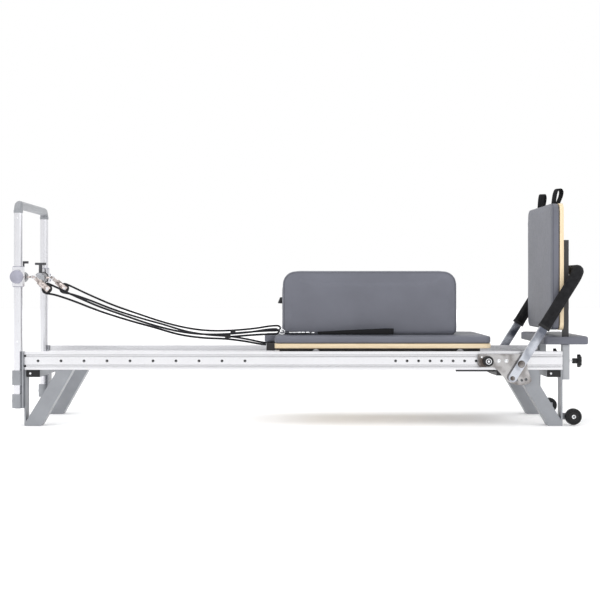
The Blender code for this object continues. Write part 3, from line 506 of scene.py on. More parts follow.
def sweep(name, path, section, side=None, closed=False, widths=None):
    """A section of (across, up) points carried along a path; UV is metres along and around.

    side is one direction for the section's width, or one for each point. widths scales it at each point.
    """
    points = [Vector(p) for p in path]
    count = len(points)
    work = bmesh.new()
    uv_layer = work.loops.layers.uv.new("UVMap")
    around = [0.0]
    for a, b in zip(section, (*section[1:], section[0])):
        around.append(around[-1] + math.dist(a, b))
    rings, lengths, travelled, across = [], [], 0.0, None
    for i, point in enumerate(points):
        before = points[i - 1] if i or closed else point
        after = points[(i + 1) % count] if i < count - 1 or closed else point
        tangent = (after - before).normalized()
        if side is None:
            reference = across or tangent.orthogonal()
        else:
            reference = side if isinstance(side, Vector) else side[i]
        across = (reference - tangent * reference.dot(tangent)).normalized()
        up = tangent.cross(across)
        width = widths[i] if widths else 1.0
        rings.append([work.verts.new(point + across * a * width + up * b) for a, b in section])
        if i:
            travelled += (point - points[i - 1]).length
        lengths.append(travelled)
    if closed:
        rings.append(rings[0])
        lengths.append(travelled + (points[0] - points[-1]).length)
    size = len(section)
    for i in range(len(rings) - 1):
        for j in range(size):
            k = (j + 1) % size
            face = work.faces.new((rings[i][j], rings[i + 1][j], rings[i + 1][k], rings[i][k]))
            corners = ((i, j), (i + 1, j), (i + 1, j + 1), (i, j + 1))
            for loop, (u, v) in zip(face.loops, corners):
                loop[uv_layer].uv = (lengths[u], around[v])
    if not closed:
        work.faces.new(rings[0])
        work.faces.new(list(reversed(rings[-1])))
    return finished_mesh(name, work, 50)


def round_section(radius, sides=10):
    """A circle as a section."""
    turns = [2 * math.pi * i / sides for i in range(sides)]
    return [(radius * math.cos(t), radius * math.sin(t)) for t in turns]


def flat_section(width, thickness):
    """A strap's section, with softly rounded edges."""
    w, t = width / 2, thickness / 2
    lower = [(-w, -t * 0.4), (-w + t, -t), (w - t, -t), (w, -t * 0.4)]
    return lower + [(-a, -b) for a, b in lower]


def smooth_route(route, step):
    """Points evenly along a smooth curve through the route."""
    knots = [Vector(p) for p in route]
    knots = [2 * knots[0] - knots[1], *knots, 2 * knots[-1] - knots[-2]]
    dense = []
    for before, a, b, after in zip(knots, knots[1:], knots[2:], knots[3:]):
        for i in range(40):
            t = i / 40
            dense.append(0.5 * (
                2 * a + (b - before) * t + (2 * before - 5 * a + 4 * b - after) * t * t
                + (3 * a - before - 3 * b + after) * t ** 3
            ))
    dense.append(knots[-2])
    kept, run = [dense[0]], 0.0
    for previous, here in zip(dense, dense[1:]):
        run += (here - previous).length
        if run >= step:
            kept.append(here)
            run = 0.0
    if kept[-1] != dense[-1]:
        kept.append(dense[-1])
    return kept


def add_bolt(work, place, axis, radius):
    """A button-head screw with a socket, on a washer."""
    add_lathe(work, [(r * radius, h * radius) for r, h in BOLT_PROFILE], place, axis, 12)


def bolts(name, body, slot, look, places):
    """All of one body's screws of a kind, as one piece."""
    work = bmesh.new()
    for place, axis, radius in places:
        add_bolt(work, place, axis, radius)
    return new_piece(name, finished_mesh(name, work), look, body, slot)


def upholster(node, body, rounding, voxel, cap, held):
    """A padded cover in a pad's own space: remeshed, swollen by cloth pressure, then smoothed.

    cap is how far a point may move along each axis; held says which points are stapled down.
    """
    low, high = (Vector(corner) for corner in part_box(node))
    centre = (low + high) / 2
    source = NODES[node].data.copy()
    work = bmesh.new()
    work.from_mesh(source)
    bmesh.ops.remove_doubles(work, verts=work.verts, dist=0.00001)
    inset = Vector([1 - 2 * c * 0.3 / (h - l) for c, l, h in zip(cap, low, high)])
    for vert in work.verts:
        vert.co = centre + (vert.co - centre) * inset
    work.to_mesh(source)
    work.free()
    shape = bpy.data.objects.new(node + "_shape", source)
    bpy.context.scene.collection.objects.link(shape)
    soft = shape.modifiers.new("rounding", "BEVEL")
    soft.width = rounding
    soft.segments = 4
    soft.limit_method = "ANGLE"
    soft.angle_limit = math.radians(50)
    grid = shape.modifiers.new("grid", "REMESH")
    grid.mode = "VOXEL"
    grid.voxel_size = voxel
    bpy.context.view_layer.update()
    mesh = bpy.data.meshes.new_from_object(shape.evaluated_get(bpy.context.evaluated_depsgraph_get()))
    bpy.data.objects.remove(shape, do_unlink=True)
    start = np.empty(len(mesh.vertices) * 3)
    mesh.vertices.foreach_get("co", start)
    start = start.reshape(-1, 3)
    moved = swell(mesh, [i for i, co in enumerate(start) if held(Vector(co))])
    normals = np.empty(len(mesh.vertices) * 3)
    mesh.vertices.foreach_get("normal", normals)
    normals = normals.reshape(-1, 3)
    outward = np.maximum(((moved - start) * normals).sum(axis=1, keepdims=True), 0.0)
    shift = np.clip(outward * normals, -np.array(cap), np.array(cap))
    mesh.vertices.foreach_set("co", (start + shift).ravel())
    mesh.shade_smooth()
    cover = new_piece(node + "_cover", mesh, VINYL, body, "grey_vinyl", node)
    smoother = cover.modifiers.new("smooth", "SMOOTH")
    smoother.factor = 0.5
    smoother.iterations = 2
    finer = cover.modifiers.new("finer", "SUBSURF")
    finer.levels = 1
    finer.render_levels = 1
    return cover


def swell(mesh, held):
    """The places of a mesh's points after 20 frames under a little inner pressure."""
    obj = bpy.data.objects.new("swelling", mesh)
    bpy.context.scene.collection.objects.link(obj)
    pins = obj.vertex_groups.new(name="held")
    pins.add(held, 1.0, "REPLACE")
    cloth = obj.modifiers.new("cloth", "CLOTH")
    settings = cloth.settings
    settings.quality = 4
    settings.use_pressure = True
    settings.uniform_pressure_force = 4.0
    settings.effector_weights.gravity = 0.0
    settings.vertex_group_mass = "held"
    cloth.collision_settings.use_collision = False
    cloth.point_cache.frame_start = 1
    cloth.point_cache.frame_end = 20
    for number in range(1, 21):
        bpy.context.scene.frame_set(number)
    result = obj.evaluated_get(bpy.context.evaluated_depsgraph_get()).data
    moved = np.empty(len(mesh.vertices) * 3)
    result.vertices.foreach_get("co", moved)
    bpy.data.objects.remove(obj, do_unlink=True)
    bpy.context.scene.frame_set(1)
    return moved.reshape(-1, 3)


def seam(name, cover, body, route):
    """A closed line of stitching laid on a cover, on its nearest surface."""
    bpy.context.view_layer.update()
    surface = BVHTree.FromObject(cover, bpy.context.evaluated_depsgraph_get())
    points = []
    for point in route:
        place, normal, _, _ = surface.find_nearest(Vector(point))
        points.append(place + normal * SEAM_RADIUS * 0.1)
    mesh = sweep(name, points, round_section(SEAM_RADIUS, 6), closed=True)
    return new_piece(name, mesh, SEAM, body, "grey_vinyl")


def rounded_outline(low, high, radius, steps=6):
    """Points of a rectangle with round corners, evenly enough spaced to lie on a surface."""
    corners = (
        (low[0] + radius, low[1] + radius, 180), (high[0] - radius, low[1] + radius, 270),
        (high[0] - radius, high[1] - radius, 0), (low[0] + radius, high[1] - radius, 90),
    )
    arcs = []
    for a, b, start in corners:
        for i in range(steps + 1):
            angle = math.radians(start + 90 * i / steps)
            arcs.append((a + radius * math.cos(angle), b + radius * math.sin(angle)))
    points = []
    for (a0, b0), (a1, b1) in zip(arcs, (*arcs[1:], arcs[0])):
        parts = max(1, round(math.dist((a0, b0), (a1, b1)) / 0.02))
        points += [(a0 + (a1 - a0) * i / parts, b0 + (b1 - b0) * i / parts) for i in range(parts)]
    return points


def upholstery():
    """The carriage pad, headrest, standing platform, jump board pad and sitting box."""
    pad_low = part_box("carriage_pad")[0]
    upholster("carriage_pad", "carriage", 0.007, 0.0060, (0.0015, 0.0015, 0.0035),
              lambda co: co.z < pad_low[2] + 0.008)
    upholster("headrest", "carriage", 0.007, 0.0045, (0.0015, 0.0015, 0.0030),
              lambda co: co.z < pad_low[2] + 0.006)
    plate_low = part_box("standing_platform")[0]
    upholster("standing_platform", "frame", 0.007, 0.0045, (0.0020, 0.0020, 0.0030),
              lambda co: co.z < plate_low[2] + 0.006)

    board_low, board_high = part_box("board_pad")
    board = upholster("board_pad", "jump_board", 0.006, 0.0060, (0.0030, 0.0020, 0.0020),
                      lambda co: co.x > board_high[0] - 0.008)
    rim = rounded_outline((board_low[1] + 0.004, board_low[2] + 0.004),
                          (board_high[1] - 0.004, board_high[2] - 0.004), 0.031)
    seam("board_pad_seam", board, "jump_board", [(board_low[0] + 0.006, y, z) for y, z in rim])

    box_low, box_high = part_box("sitting_box")
    cover = upholster("sitting_box", "sitting_box", 0.006, 0.0070, (0.0030, 0.0040, 0.0020),
                      lambda co: co.z < box_low[2] + 0.010)
    for label, side in SIDES:
        face = side * (box_high[1] - 0.001)
        low, high = (box_low[0] + 0.007, box_low[2] + 0.007), (box_high[0] - 0.007, box_high[2] - 0.007)
        rim = box_rim(low, high)
        seam(label + "_box_seam", cover, "sitting_box", [(x, face, z) for x, z in rim])
    box_handles(box_low, box_high)


def box_rim(low, high):
    """The box's side outline: small corners below and large ones above."""
    wide = rounded_outline(low, high, 0.051, 8)
    tight = rounded_outline(low, high, 0.016, 4)
    middle = (low[1] + high[1]) / 2
    upper = [p for p in wide if p[1] >= middle]
    lower = [p for p in tight if p[1] < middle]
    for half in (lower, upper):
        half.sort(key=lambda p: math.atan2(p[1] - middle, p[0] - (low[0] + high[0]) / 2))
    return lower + upper


def box_handles(low, high):
    """A webbing handle on each end of the box, with bar-tacked ends."""
    for label, x, way, bulge, slant in (("head", low[0], -1, 0.0165, 0.40), ("foot", high[0], 1, 0.005, 0.0)):
        path, leaning = [], []
        for i in range(25):
            t = i / 24
            y = -0.105 + 0.21 * t
            rise = math.sin(math.pi * min(1, max(0, (t - 0.10) / 0.80))) ** 0.6
            path.append((x + way * (0.0012 + bulge * rise), y, BOX_HANDLE_Z))
            leaning.append(Vector((-way * slant * rise, 0, 1)))
        mesh = sweep(label + "_box_handle", path, flat_section(0.028, 0.0026), side=leaning)
        new_piece(label + "_box_handle", mesh, WEBBING, "sitting_box", "black_webbing")


def rope_pieces(label, side):
    """One rope as three pieces: anchor strand, the turn round the sheave, and strap strand."""
    wrap = [
        (SHEAVE.x + WRAP_RADIUS * math.cos(math.radians(a)), PULLEY_Y,
         SHEAVE.z + WRAP_RADIUS * math.sin(math.radians(a)))
        for a in WRAP_ANGLES
    ]
    route = [(x, side * y, z) for x, y, z in (*ANCHOR_STRAND, *wrap, *STRAP_STRAND)]
    points = smooth_route(route, ROPE_STEP)
    turn = [i for i, p in enumerate(points) if p.x < WRAP_SPLIT_X]
    first, last = turn[0], turn[-1]
    anchor, turned, strap = points[:first + 1], points[first:last + 1], points[last:]
    carriage_end = Vector((-0.16, side * 0.18, 0.37))
    pulley_end = Vector((WRAP_SPLIT_X, side * 0.18, 0.53))
    parts = (
        ("anchor_strand", anchor, "frame", "carriage", pulley_end, carriage_end, "object"),
        ("pulley_turn", turned, f"{label}_slider", "frame",
         Vector((SHEAVE.x + 0.025, 0, 0.6)), Vector((WRAP_SPLIT_X - 0.002, 0, 0.6)), "object"),
        ("strap_strand", strap, "frame", "carriage", pulley_end, carriage_end, "bare"),
    )
    for name, line, first_body, second_body, start, end, far_end in parts:
        full = f"{label}_rope_{name}"
        mesh = sweep(full, line, round_section(ROPE_RADIUS, 10))
        obj = new_piece(full, mesh, ROPE, None, "black_webbing", f"{label}_rope")
        start = Vector((start.x, line[0].y, line[0].z))
        end = Vector((end.x, line[0].y, line[0].z))
        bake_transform(obj)


def foot_strap(label, side):
    """The loop strap that lies beside the box: webbing loop, slide buckle and rings."""
    y = side * FOOT_STRAP_Y
    loop = smooth_route([
        (0.078, side * 0.2545, 0.4018), (0.120, side * 0.2500, 0.4024), (0.200, side * 0.2450, 0.4048),
        (0.300, side * 0.2435, 0.4068), (0.372, side * 0.2440, 0.4084), (0.402, side * 0.2485, 0.4088),
        (0.4115, side * 0.2580, 0.4090), (0.402, side * 0.2685, 0.4088), (0.372, side * 0.2735, 0.4084),
        (0.300, side * 0.2745, 0.4068), (0.200, side * 0.2720, 0.4048), (0.120, side * 0.2665, 0.4024),
        (0.078, side * 0.2620, 0.4018),
    ], 0.006)
    widths = [0.46 + 0.54 * min(1.0, max(0.0, (p.x - 0.078) / 0.300)) for p in loop]
    mesh = sweep(label + "_strap_loop", loop, flat_section(0.0260, 0.0028), side=Z, widths=widths)
    new_piece(label + "_strap_loop", mesh, WEBBING, "carriage", "black_webbing", f"{label}_foot_strap")
    tail = smooth_route([
        (0.056, y, 0.4034), (0.020, y, 0.3990), (-0.030, y, 0.3975), (-0.062, y, 0.4010), (-0.070, y, 0.4050),
        (-0.062, y, 0.4085), (-0.030, y, 0.4060), (0.000, y, 0.4040), (0.022, y, 0.4030),
    ], 0.006)
    mesh = sweep(label + "_strap_tail", tail, flat_section(0.024, 0.0022), side=Y)
    new_piece(label + "_strap_tail", mesh, WEBBING, "carriage", "black_webbing")
    work = bmesh.new()
    ring = oval((0.058, y, 0.4035), X * 0.011, Y * side * 0.026, 24)
    merge_mesh(work, sweep("ring", ring, round_section(0.0024, 8), closed=True))
    for x in (-0.040, -0.022, -0.004, 0.014, 0.034):
        outline = rounded_outline((x - 0.008, y - 0.0165), (x + 0.008, y + 0.0165), 0.004, 3)
        buckle = [(a, b, 0.4045) for a, b in outline]
        merge_mesh(work, sweep("buckle", buckle, round_section(0.0018, 6), closed=True))
    link = oval((-0.079, y, 0.4065), (0.0125, side * 0.003, 0), Z * 0.0105, 20)
    merge_mesh(work, sweep("link", link, round_section(0.0021, 8), closed=True))
    add_piece(label + "_strap_rings", work, CHROME, "carriage", "chrome", angle=60)
    clip = sweep(label + "_rope_clip", [(-0.330, side * 0.255, 0.3900), (-0.306, side * 0.2555, 0.3905)],
                 [(a * 1.1, b * 1.9) for a, b in round_section(0.0062, 14)], side=Y)
    new_piece(label + "_rope_clip", clip, BLACK, "carriage", "black_plastic")


def merge_mesh(work, mesh):
    """Adds a mesh to a bmesh and removes it."""
    work.from_mesh(mesh)
    bpy.data.meshes.remove(mesh)


def board_strap(label, side):
    """The webbing loop on top of the jump board, with a stitched foot."""
    centre = Vector((STRAP_LOOP_X, side * STRAP_LOOP_Y, 0))
    turn = Matrix.Rotation(math.radians(STRAP_TURN[label]), 3, "Z")
    outline = (
        (1.121, 0.9722), (1.1235, 0.990), (1.130, 1.018), (1.141, 1.0365), (1.1575, 1.0395),
        (1.168, 1.028), (1.1645, 1.008), (1.153, 0.986), (1.1445, 0.9722),
    )
    loop = smooth_route([centre + turn @ Vector((x - STRAP_LOOP_X, 0, z)) for x, z in outline], 0.006)
    mesh = sweep(label + "_board_loop", loop, flat_section(0.028, 0.0028), side=turn @ Y)
    new_piece(label + "_board_loop", mesh, WEBBING, "jump_board", "black_webbing", f"{label}_board_strap")


def board_fittings():
    """The screws that hold the board to its post frame, and the tie's end welds."""
    low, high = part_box("board_frame")
    places = [
        (Vector((high[0] + 0.0001, side * 0.306, z)), (1, 0, 0), 0.0055)
        for _, side in SIDES for z in (0.455, 0.530, 0.660, 0.765)
    ]
    bolts("board_screws", "jump_board", "chrome", CHROME, places)
    work = bmesh.new()
    for _, side in SIDES:
        y = side * (abs(low[1]) - 0.0315)
        for z in (0.560, 0.600):
            line = [(1.1470, y, z), (1.1580, y, z)]
            merge_mesh(work, sweep("weld", line, round_section(0.0022, 8)))
    add_piece("board_welds", work, STEEL, "jump_board", "dark_steel", angle=60)


def spring_coil(number, y):
    """A close-wound spring with hooked ends."""
    start, end = SPRING_ENDS
    hook, pitch, radius, wire = 0.016, 0.0034, 0.0098, 0.0012
    coil_length = end - start - 2 * hook
    turns = coil_length / pitch
    steps = int(turns * 10)
    path = [(start, y, SPRING_Z), (start + 0.010, y, SPRING_Z)]
    for i in range(steps + 1):
        angle = 2 * math.pi * turns * i / steps
        x = start + hook + coil_length * i / steps
        path.append((x, y + radius * math.sin(angle), SPRING_Z + radius * math.cos(angle)))
    path += [(end - 0.010, y, SPRING_Z), (end, y, SPRING_Z)]
    mesh = sweep(f"spring_coil_{number}", path, round_section(wire, 5))
    obj = new_piece(f"spring_coil_{number}", mesh, SPRING_STEEL, None, "dark_steel", f"spring_{number}")
    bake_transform(obj)


def star_outline(outer, inner, lobes):
    """A soft star."""
    points = []
    for i in range(lobes * 10):
        angle = 2 * math.pi * i / (lobes * 10)
        reach = inner + (outer - inner) * (0.5 + 0.5 * math.cos(lobes * angle)) ** 0.6
        points.append((reach * math.cos(angle), reach * math.sin(angle)))
    return points


def star_knob(label):
    """A lobed knob on a threaded stem, at the end of each socket."""
    low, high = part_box(label + "_star_knob")
    centre = Vector((0, (low[1] + high[1]) / 2, (low[2] + high[2]) / 2))
    work = bmesh.new()
    add_plate(work, star_outline(0.0295, 0.0185, 5), X, Z, centre + X * (high[0] - 0.0115), 0.015, 0.0025)
    hub = [(0, 0.0545), (0.009, 0.0545), (0.0115, 0.051), (0.0118, 0.016), (0.0105, 0.014), (0.0, 0.014)]
    add_lathe(work, hub, centre + X * low[0], X)
    knob = f"{label}_star_knob"
    add_piece(label + "_star_grip", work, BLACK, knob, "black_plastic", knob)
    stem = [(0, 0.014), (0.0042, 0.014), (0.0036, 0.012), (0.0042, 0.010), (0.0036, 0.008), (0.0042, 0.006),
            (0.0042, 0.0002), (0, 0.0002)]
    turned(label + "_star_stem", stem, centre + X * low[0], X, CHROME, knob, "chrome")


def wheel_hub(label, side):
    """The transport wheel's dished hub and bright centre."""
    wheel = f"{label}_transport_wheel"
    centre = outer_centre(wheel, side)
    outward = (0, side, 0)
    hub = [(0.0055, 0.0012), (0.0085, 0.0020), (0.0105, 0.0008), (0.0115, -0.0015), (0.0225, -0.0032),
           (0.0250, -0.0015), (0.0262, -0.0028), (0.0262, -0.0045)]
    turned(label + "_wheel_hub", hub, centre, outward, BLACK, wheel, "black_plastic")
    boss = [(0.0053, 0.0020), (0.0078, 0.0028), (0.0086, 0.0022), (0.0088, 0.0006)]
    turned(label + "_wheel_boss", boss, centre, outward, CHROME, wheel, "chrome")
    rivets = oval(centre - Y * side * 0.0024, X * 0.0168, Z * 0.0168, 5)
    places = [(rivet, outward, 0.0026) for rivet in rivets]
    bolts(label + "_wheel_rivets", wheel, "black_plastic", BLACK, places)


def footbar_fittings(label, side):
    """Pivot cap, locking pin, foam end collar and the plate's screws."""
    direction = (GRIP_BAR - PIVOT).normalized()
    outward = (0, side, 0)
    face = Y * outer_centre(label + "_footbar_arm", side).y
    work = bmesh.new()
    cap = [(0, 0.0095), (0.005, 0.0095), (0.0125, 0.0080), (0.0140, 0.0055), (0.0140, 0.0012),
           (0.0165, 0.0010), (0.0165, 0.0002), (0.0098, 0.0002)]
    add_lathe(work, cap, PIVOT + face, outward)
    pin = [(0, 0.0100), (0.0062, 0.0100), (0.0072, 0.0085), (0.0072, 0.0045), (0.0100, 0.0040),
           (0.0100, 0.0002), (0, 0.0002)]
    add_lathe(work, pin, PIVOT - direction * 0.072 + face, outward)
    add_piece(label + "_footbar_caps", work, PLATE_CHROME, "footbar", "chrome")
    start = PIVOT + direction * 0.1845 + Y * side * 0.376
    collar = sweep(label + "_grip_collar", [start - direction * 0.002, start + direction * 0.010],
                   round_section(0.0273, 28))
    new_piece(label + "_grip_collar", collar, RUBBER, "footbar", "black_rubber")
    screws = (
        (0.862, 0.2835, 0.0062), (0.895, 0.2835, 0.0062), (0.975, 0.296, 0.0050), (0.788, 0.300, 0.0032),
    )
    places = [((x, side * PLATE_FACE_Y, z), outward, radius) for x, z, radius in screws]
    bolts(label + "_plate_screws", "frame", "chrome", CHROME, places)


def rail_knob_ring(label, side):
    """The bright ring and centre screw of a rail knob."""
    knob = f"{label}_rail_knob"
    centre = outer_centre(knob, side)
    outward = (0, side, 0)
    ring = [(0.0095, 0.0002), (0.0100, 0.0016), (0.0128, 0.0016), (0.0134, 0.0002), (0.0095, 0.0002)]
    turned(label + "_knob_ring", ring, centre, outward, CHROME, knob, "chrome")
    bolts(label + "_knob_screw", knob, "chrome", CHROME, [(centre, outward, 0.0040)])


def slider_fittings(label, side):
    """Collars, the hub's ring, sleeve and end, and the pulley's eye, axle and cheeks on one slider."""
    body = f"{label}_slider"
    low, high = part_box(label + "_slider")
    collar = [(0.0200, 0.0030), (0.0228, 0.0030), (0.0242, 0.0015), (0.0242, 0.0002), (0.0200, 0.0002),
              (0.0200, 0.0030)]
    work = bmesh.new()
    for z, way in ((high[2], 1), (low[2], -1)):
        add_lathe(work, collar, (POST_X, side * POST_Y, z), (0, 0, way))
    add_piece(label + "_slider_collars", work, GREY, body, "grey_plastic")

    root = (POST_X, side * (POST_Y - SLIDER_HALF), SLIDER_AXIS)
    inward = (0, -side, 0)
    flange = [(0.0218, 0.0010), (0.0262, 0.0010), (0.0270, 0.0030), (0.0270, 0.0070), (0.0255, 0.0085),
              (0.0218, 0.0085)]
    turned(label + "_hub_ring", flange, root, inward, STEEL, body, "dark_steel")
    sleeve = [(0.0218, 0.0092), (0.0238, 0.0098), (0.0240, 0.0120), (0.0240, 0.0945), (0.0230, 0.1000),
              (0.0218, 0.1000)]
    turned(label + "_hub_sleeve", sleeve, root, inward, HUB_GREY, body, "silver_paint")
    end = [(0, 0.0024), (0.0120, 0.0024), (0.0185, 0.0012), (0.0205, 0.0002), (0, 0.0002)]
    tip = (POST_X, side * HUB_END_Y, SLIDER_AXIS)
    turned(label + "_hub_end", end, tip, inward, SPECKLE, body, "silver_paint")

    work = bmesh.new()
    eye = Vector((EYE_X, side * PULLEY_Y, SLIDER_AXIS))
    for way in (-1, 1):
        ring = oval(eye + Y * way * 0.0128, X * 0.0085, Z * 0.0085, 20)
        merge_mesh(work, sweep("eye", ring, round_section(0.0021, 8), closed=True))
        add_bolt(work, SHEAVE + Y * (side * PULLEY_Y + way * 0.0102), (0, way, 0), 0.0050)
    add_piece(label + "_pulley_eye", work, CHROME, body, "chrome", angle=60)
    along = (SHEAVE - Vector((EYE_X, 0, SLIDER_AXIS))).normalized()
    work = bmesh.new()
    for way in (-1, 1):
        centre = SHEAVE - along * 0.012 + Y * (side * PULLEY_Y + way * 0.0108)
        outline = rounded_outline((-0.0095, -0.019), (0.0095, 0.010), 0.006, 4)
        add_plate(work, outline, Y * way, along, centre, 0.0012, 0.0003)
    add_piece(label + "_pulley_cheeks", work, WARM_CHROME, body, "chrome")


def clamp_knob_cap(label, side):
    """The clamp knob's domed cap, and the ribs round its rim."""
    knob = f"{label}_clamp_knob"
    centre = Vector((POST_X, outer_centre(knob, side).y, SLIDER_AXIS))
    cap = [(0, 0.0010), (0.010, 0.0010), (0.0170, 0.0006), (0.0185, 0.0001), (0, 0.0001)]
    turned(label + "_knob_cap", cap, centre, (0, side, 0), GREY, knob, "grey_plastic")
    work = bmesh.new()
    for place in oval(centre - Y * side * 0.0085, X * 0.0283, Z * 0.0283, 18):
        merge_mesh(work, sweep("rib", [place - Y * 0.0038, place + Y * 0.0038], round_section(0.0011, 6)))
    add_piece(label + "_knob_ribs", work, GREY, knob, "grey_plastic")


def riser_fittings(label, side):
    """Screws, tube collars and plugs of one riser."""
    y = side * POST_Y
    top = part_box(label + "_post")[1][2]
    ring = [(0.0192, -0.006), (0.0200, -0.006), (0.0203, -0.004), (0.0203, 0.004), (0.0200, 0.006),
            (0.0192, 0.006)]
    turned(label + "_riser_collar", ring, (POST_X, y, top), Z, SILVER, "frame", "silver_paint")
    plug = [(0, -0.0020), (0.0150, -0.0020), (0.0160, 0.0), (0.0160, 0.006), (0, 0.006)]
    turned(label + "_riser_plug", plug, (POST_X, y, 0.078), Z, BLACK, "frame", "black_plastic")
    places = [((POST_X - 0.0268, y, z), (-1, 0, 0), 0.0052) for z in (0.108, 0.210)]
    places += [((POST_X, y + side * 0.0188, z), (0, side, 0), 0.0030) for z in (0.367, 0.905)]
    places += [((-1.2066, y - side * 0.020, z), (-1, 0, 0), 0.0042) for z in (0.262, 0.300)]
    bolts(label + "_riser_screws", "frame", "chrome", CHROME, places)


def frame_fittings(label, side):
    """Tube end caps, groove plugs, and screws of one side of the frame."""
    caps = bmesh.new()
    screws = []
    for end in ("head", "foot"):
        low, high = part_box(f"{end}_cross_tube")
        centre = Vector(((low[0] + high[0]) / 2, side * (high[1] + 0.0011), (low[2] + high[2]) / 2))
        size = Vector(high) - Vector(low)
        half_x, half_z = size.x / 2 - 0.0008, size.z / 2 - 0.0008
        outline = rounded_outline((-half_x, -half_z), (half_x, half_z), 0.003, 3)
        add_plate(caps, outline, Y * side, Z, centre, 0.0018, 0.0005)
        screws.append((centre + Y * side * 0.001 - X * 0.012, (0, side, 0), 0.0036))
    leg_low, leg_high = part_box(f"head_{label}_leg")
    for z in (0.060, 0.120, 0.175):
        screws.append(((leg_low[0] - 0.0001, (leg_low[1] + leg_high[1]) / 2, z), (-1, 0, 0), 0.0048))
    rail_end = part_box(f"{label}_rail")[0][0]
    outline = rounded_outline((-0.0038, -0.0030), (0.0038, 0.0030), 0.001, 2)
    for bottom in GROOVE_BOTTOMS:
        centre = Vector((rail_end + 0.004, side * (RAIL_FACE_Y - 0.0025), bottom + 0.0055))
        add_plate(caps, outline, Y * side, Z, centre, 0.0030, 0.0004)
    add_piece(label + "_frame_caps", caps, BLACK, "frame", "black_plastic")
    bolts(label + "_frame_screws", "frame", "chrome", CHROME, screws)


def groove_shadow_strips(label, side):
    """Thin dark strips along the upper and lower edge of each rail groove: painted shadow of the groove's
    edges, not parts of the rail.
    """
    low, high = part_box(f"{label}_rail")
    work = bmesh.new()
    length = high[0] - low[0] - 0.012
    outline = rounded_outline((-length / 2, -0.0007), (length / 2, 0.0007), 0.0003, 2)
    for bottom in GROOVE_BOTTOMS:
        for z in (bottom + 0.0012, bottom + 0.0098):
            centre = Vector(((low[0] + high[0]) / 2, side * (RAIL_FACE_Y - 0.0016), z))
            add_plate(work, outline, Y * side, Z, centre, 0.0012, 0)
    add_piece(label + "_groove_shadow_strips", work, HUB_GREY, "frame", "anodised_aluminium")


def rail_hole_liners(label, side):
    """A dark dished insert in each hole of one rail."""
    work = bmesh.new()
    liner = [(0, -0.0030), (0.0034, -0.0030), (0.0040, -0.0006), (0.0056, 0.0003), (0.0062, 0.0001),
             (0.0058, -0.0002)]
    for first, pitch, count in RAIL_HOLES:
        for i in range(count):
            place = (first + i * pitch, side * RAIL_FACE_Y, HOLE_HEIGHT)
            add_lathe(work, liner, place, (0, side, 0), 14)
    add_piece(label + "_hole_liners", work, BLACK, "frame", "black_plastic")


def carriage_fittings():
    """Rope eyelets and the wheels' axle screws."""
    eyelet = [(0.0042, 0.0030), (0.0062, 0.0034), (0.0075, 0.0020), (0.0078, 0.0002), (0.0042, 0.0002),
              (0.0042, 0.0030)]
    work = bmesh.new()
    for _, side in SIDES:
        add_lathe(work, eyelet, (-0.149, side * 0.100, 0.345), (-1, 0, 0), 16)
    add_piece("rope_eyelets", work, CHROME, "carriage", "chrome")
    for label, side in SIDES:
        for end, x in zip(("head", "foot"), WHEEL_AXLES):
            wheel = f"{end}_{label}_carriage_wheel"
            place = (x, side * 0.3091, 0.317)
            bolts(wheel + "_screw", wheel, "chrome", CHROME, [(place, (0, side, 0), 0.0050)])


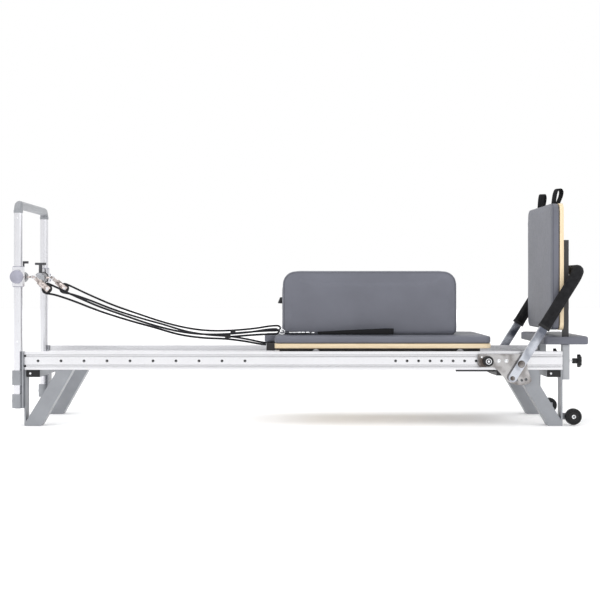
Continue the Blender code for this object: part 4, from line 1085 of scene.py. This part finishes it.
def studio():
    """A pale floor, soft lights and the camera."""
    work = bmesh.new()
    bmesh.ops.create_grid(work, x_segments=1, y_segments=1, size=30)
    floor_mesh = finished_mesh("floor", work)
    floor = Look("floor", (0.96, 0.96, 0.965), 0.75, Emission_Color=(1, 1, 1, 1), Emission_Strength=0.12)
    floor_mesh.materials.append(floor.material)
    floor_obj = bpy.data.objects.new("floor", floor_mesh)
    floor_obj.location = (0, 0, -0.0005)
    bpy.context.scene.collection.objects.link(floor_obj)

    world = bpy.data.worlds.new("studio")
    world.use_nodes = True
    nodes, links = world.node_tree.nodes, world.node_tree.links
    coords = nodes.new("ShaderNodeTexCoord")
    split = nodes.new("ShaderNodeSeparateXYZ")
    ramp = nodes.new("ShaderNodeValToRGB")
    links.new(coords.outputs["Generated"], split.inputs[0])
    links.new(split.outputs["Z"], ramp.inputs["Fac"])
    stops = ((0.0, 1.0), (0.30, 1.0), (0.42, 0.22), (0.66, 0.22), (0.82, 1.0))
    while len(ramp.color_ramp.elements) < len(stops):
        ramp.color_ramp.elements.new(0.5)
    for element, (position, level) in zip(ramp.color_ramp.elements, stops):
        element.position = position
        element.color = (level, level, level, 1)
    links.new(ramp.outputs["Color"], nodes["Background"].inputs["Color"])
    nodes["Background"].inputs["Strength"].default_value = 1.0
    bpy.context.scene.world = world
    bpy.context.scene.view_settings.view_transform = "Standard"

    for name, place, aim, size, power in (
        ("key", (-2.5, -4.0, 4.0), (0, 0, 0.4), 3.5, 60),
        ("fill", (3.5, -3.5, 2.5), (0.5, 0, 0.4), 3.0, 30),
    ):
        data = bpy.data.lights.new(name, "AREA")
        data.energy = power
        data.size = size
        light = bpy.data.objects.new(name, data)
        light.location = place
        light.rotation_euler = (Vector(aim) - Vector(place)).to_track_quat("-Z", "Y").to_euler()
        bpy.context.scene.collection.objects.link(light)

    overhead = bpy.data.lights.new("overhead", "SUN")
    overhead.energy = 1.65
    overhead.angle = math.radians(150)
    bpy.context.scene.collection.objects.link(bpy.data.objects.new("overhead", overhead))

    lens = bpy.data.cameras.new("camera")
    lens.lens = 88.4
    lens.sensor_width = 36
    lens.shift_y = -0.025
    camera = bpy.data.objects.new("camera", lens)
    camera.location = (0, -6.74, 0.6127)
    camera.rotation_euler = (math.radians(90), 0, 0)
    bpy.context.scene.collection.objects.link(camera)
    bpy.context.scene.camera = camera


studio()
for side_label, side_sign in SIDES:
    rope_pieces(side_label, side_sign)
    foot_strap(side_label, side_sign)
    board_strap(side_label, side_sign)
    star_knob(side_label)
    wheel_hub(side_label, side_sign)
    footbar_fittings(side_label, side_sign)
    rail_knob_ring(side_label, side_sign)
    slider_fittings(side_label, side_sign)
    clamp_knob_cap(side_label, side_sign)
    riser_fittings(side_label, side_sign)
    frame_fittings(side_label, side_sign)
    rail_hole_liners(side_label, side_sign)
    # Painted shadow: thin dark strips along the rail grooves.
    groove_shadow_strips(side_label, side_sign)
for spring_number, spring_y in enumerate(SPRING_ROWS, start=1):
    spring_coil(spring_number, spring_y)
carriage_fittings()
board_fittings()
for node_look, node_names in NODE_LOOKS.items():
    for node_name in node_names:
        dress_node(node_name, node_look)
upholstery()
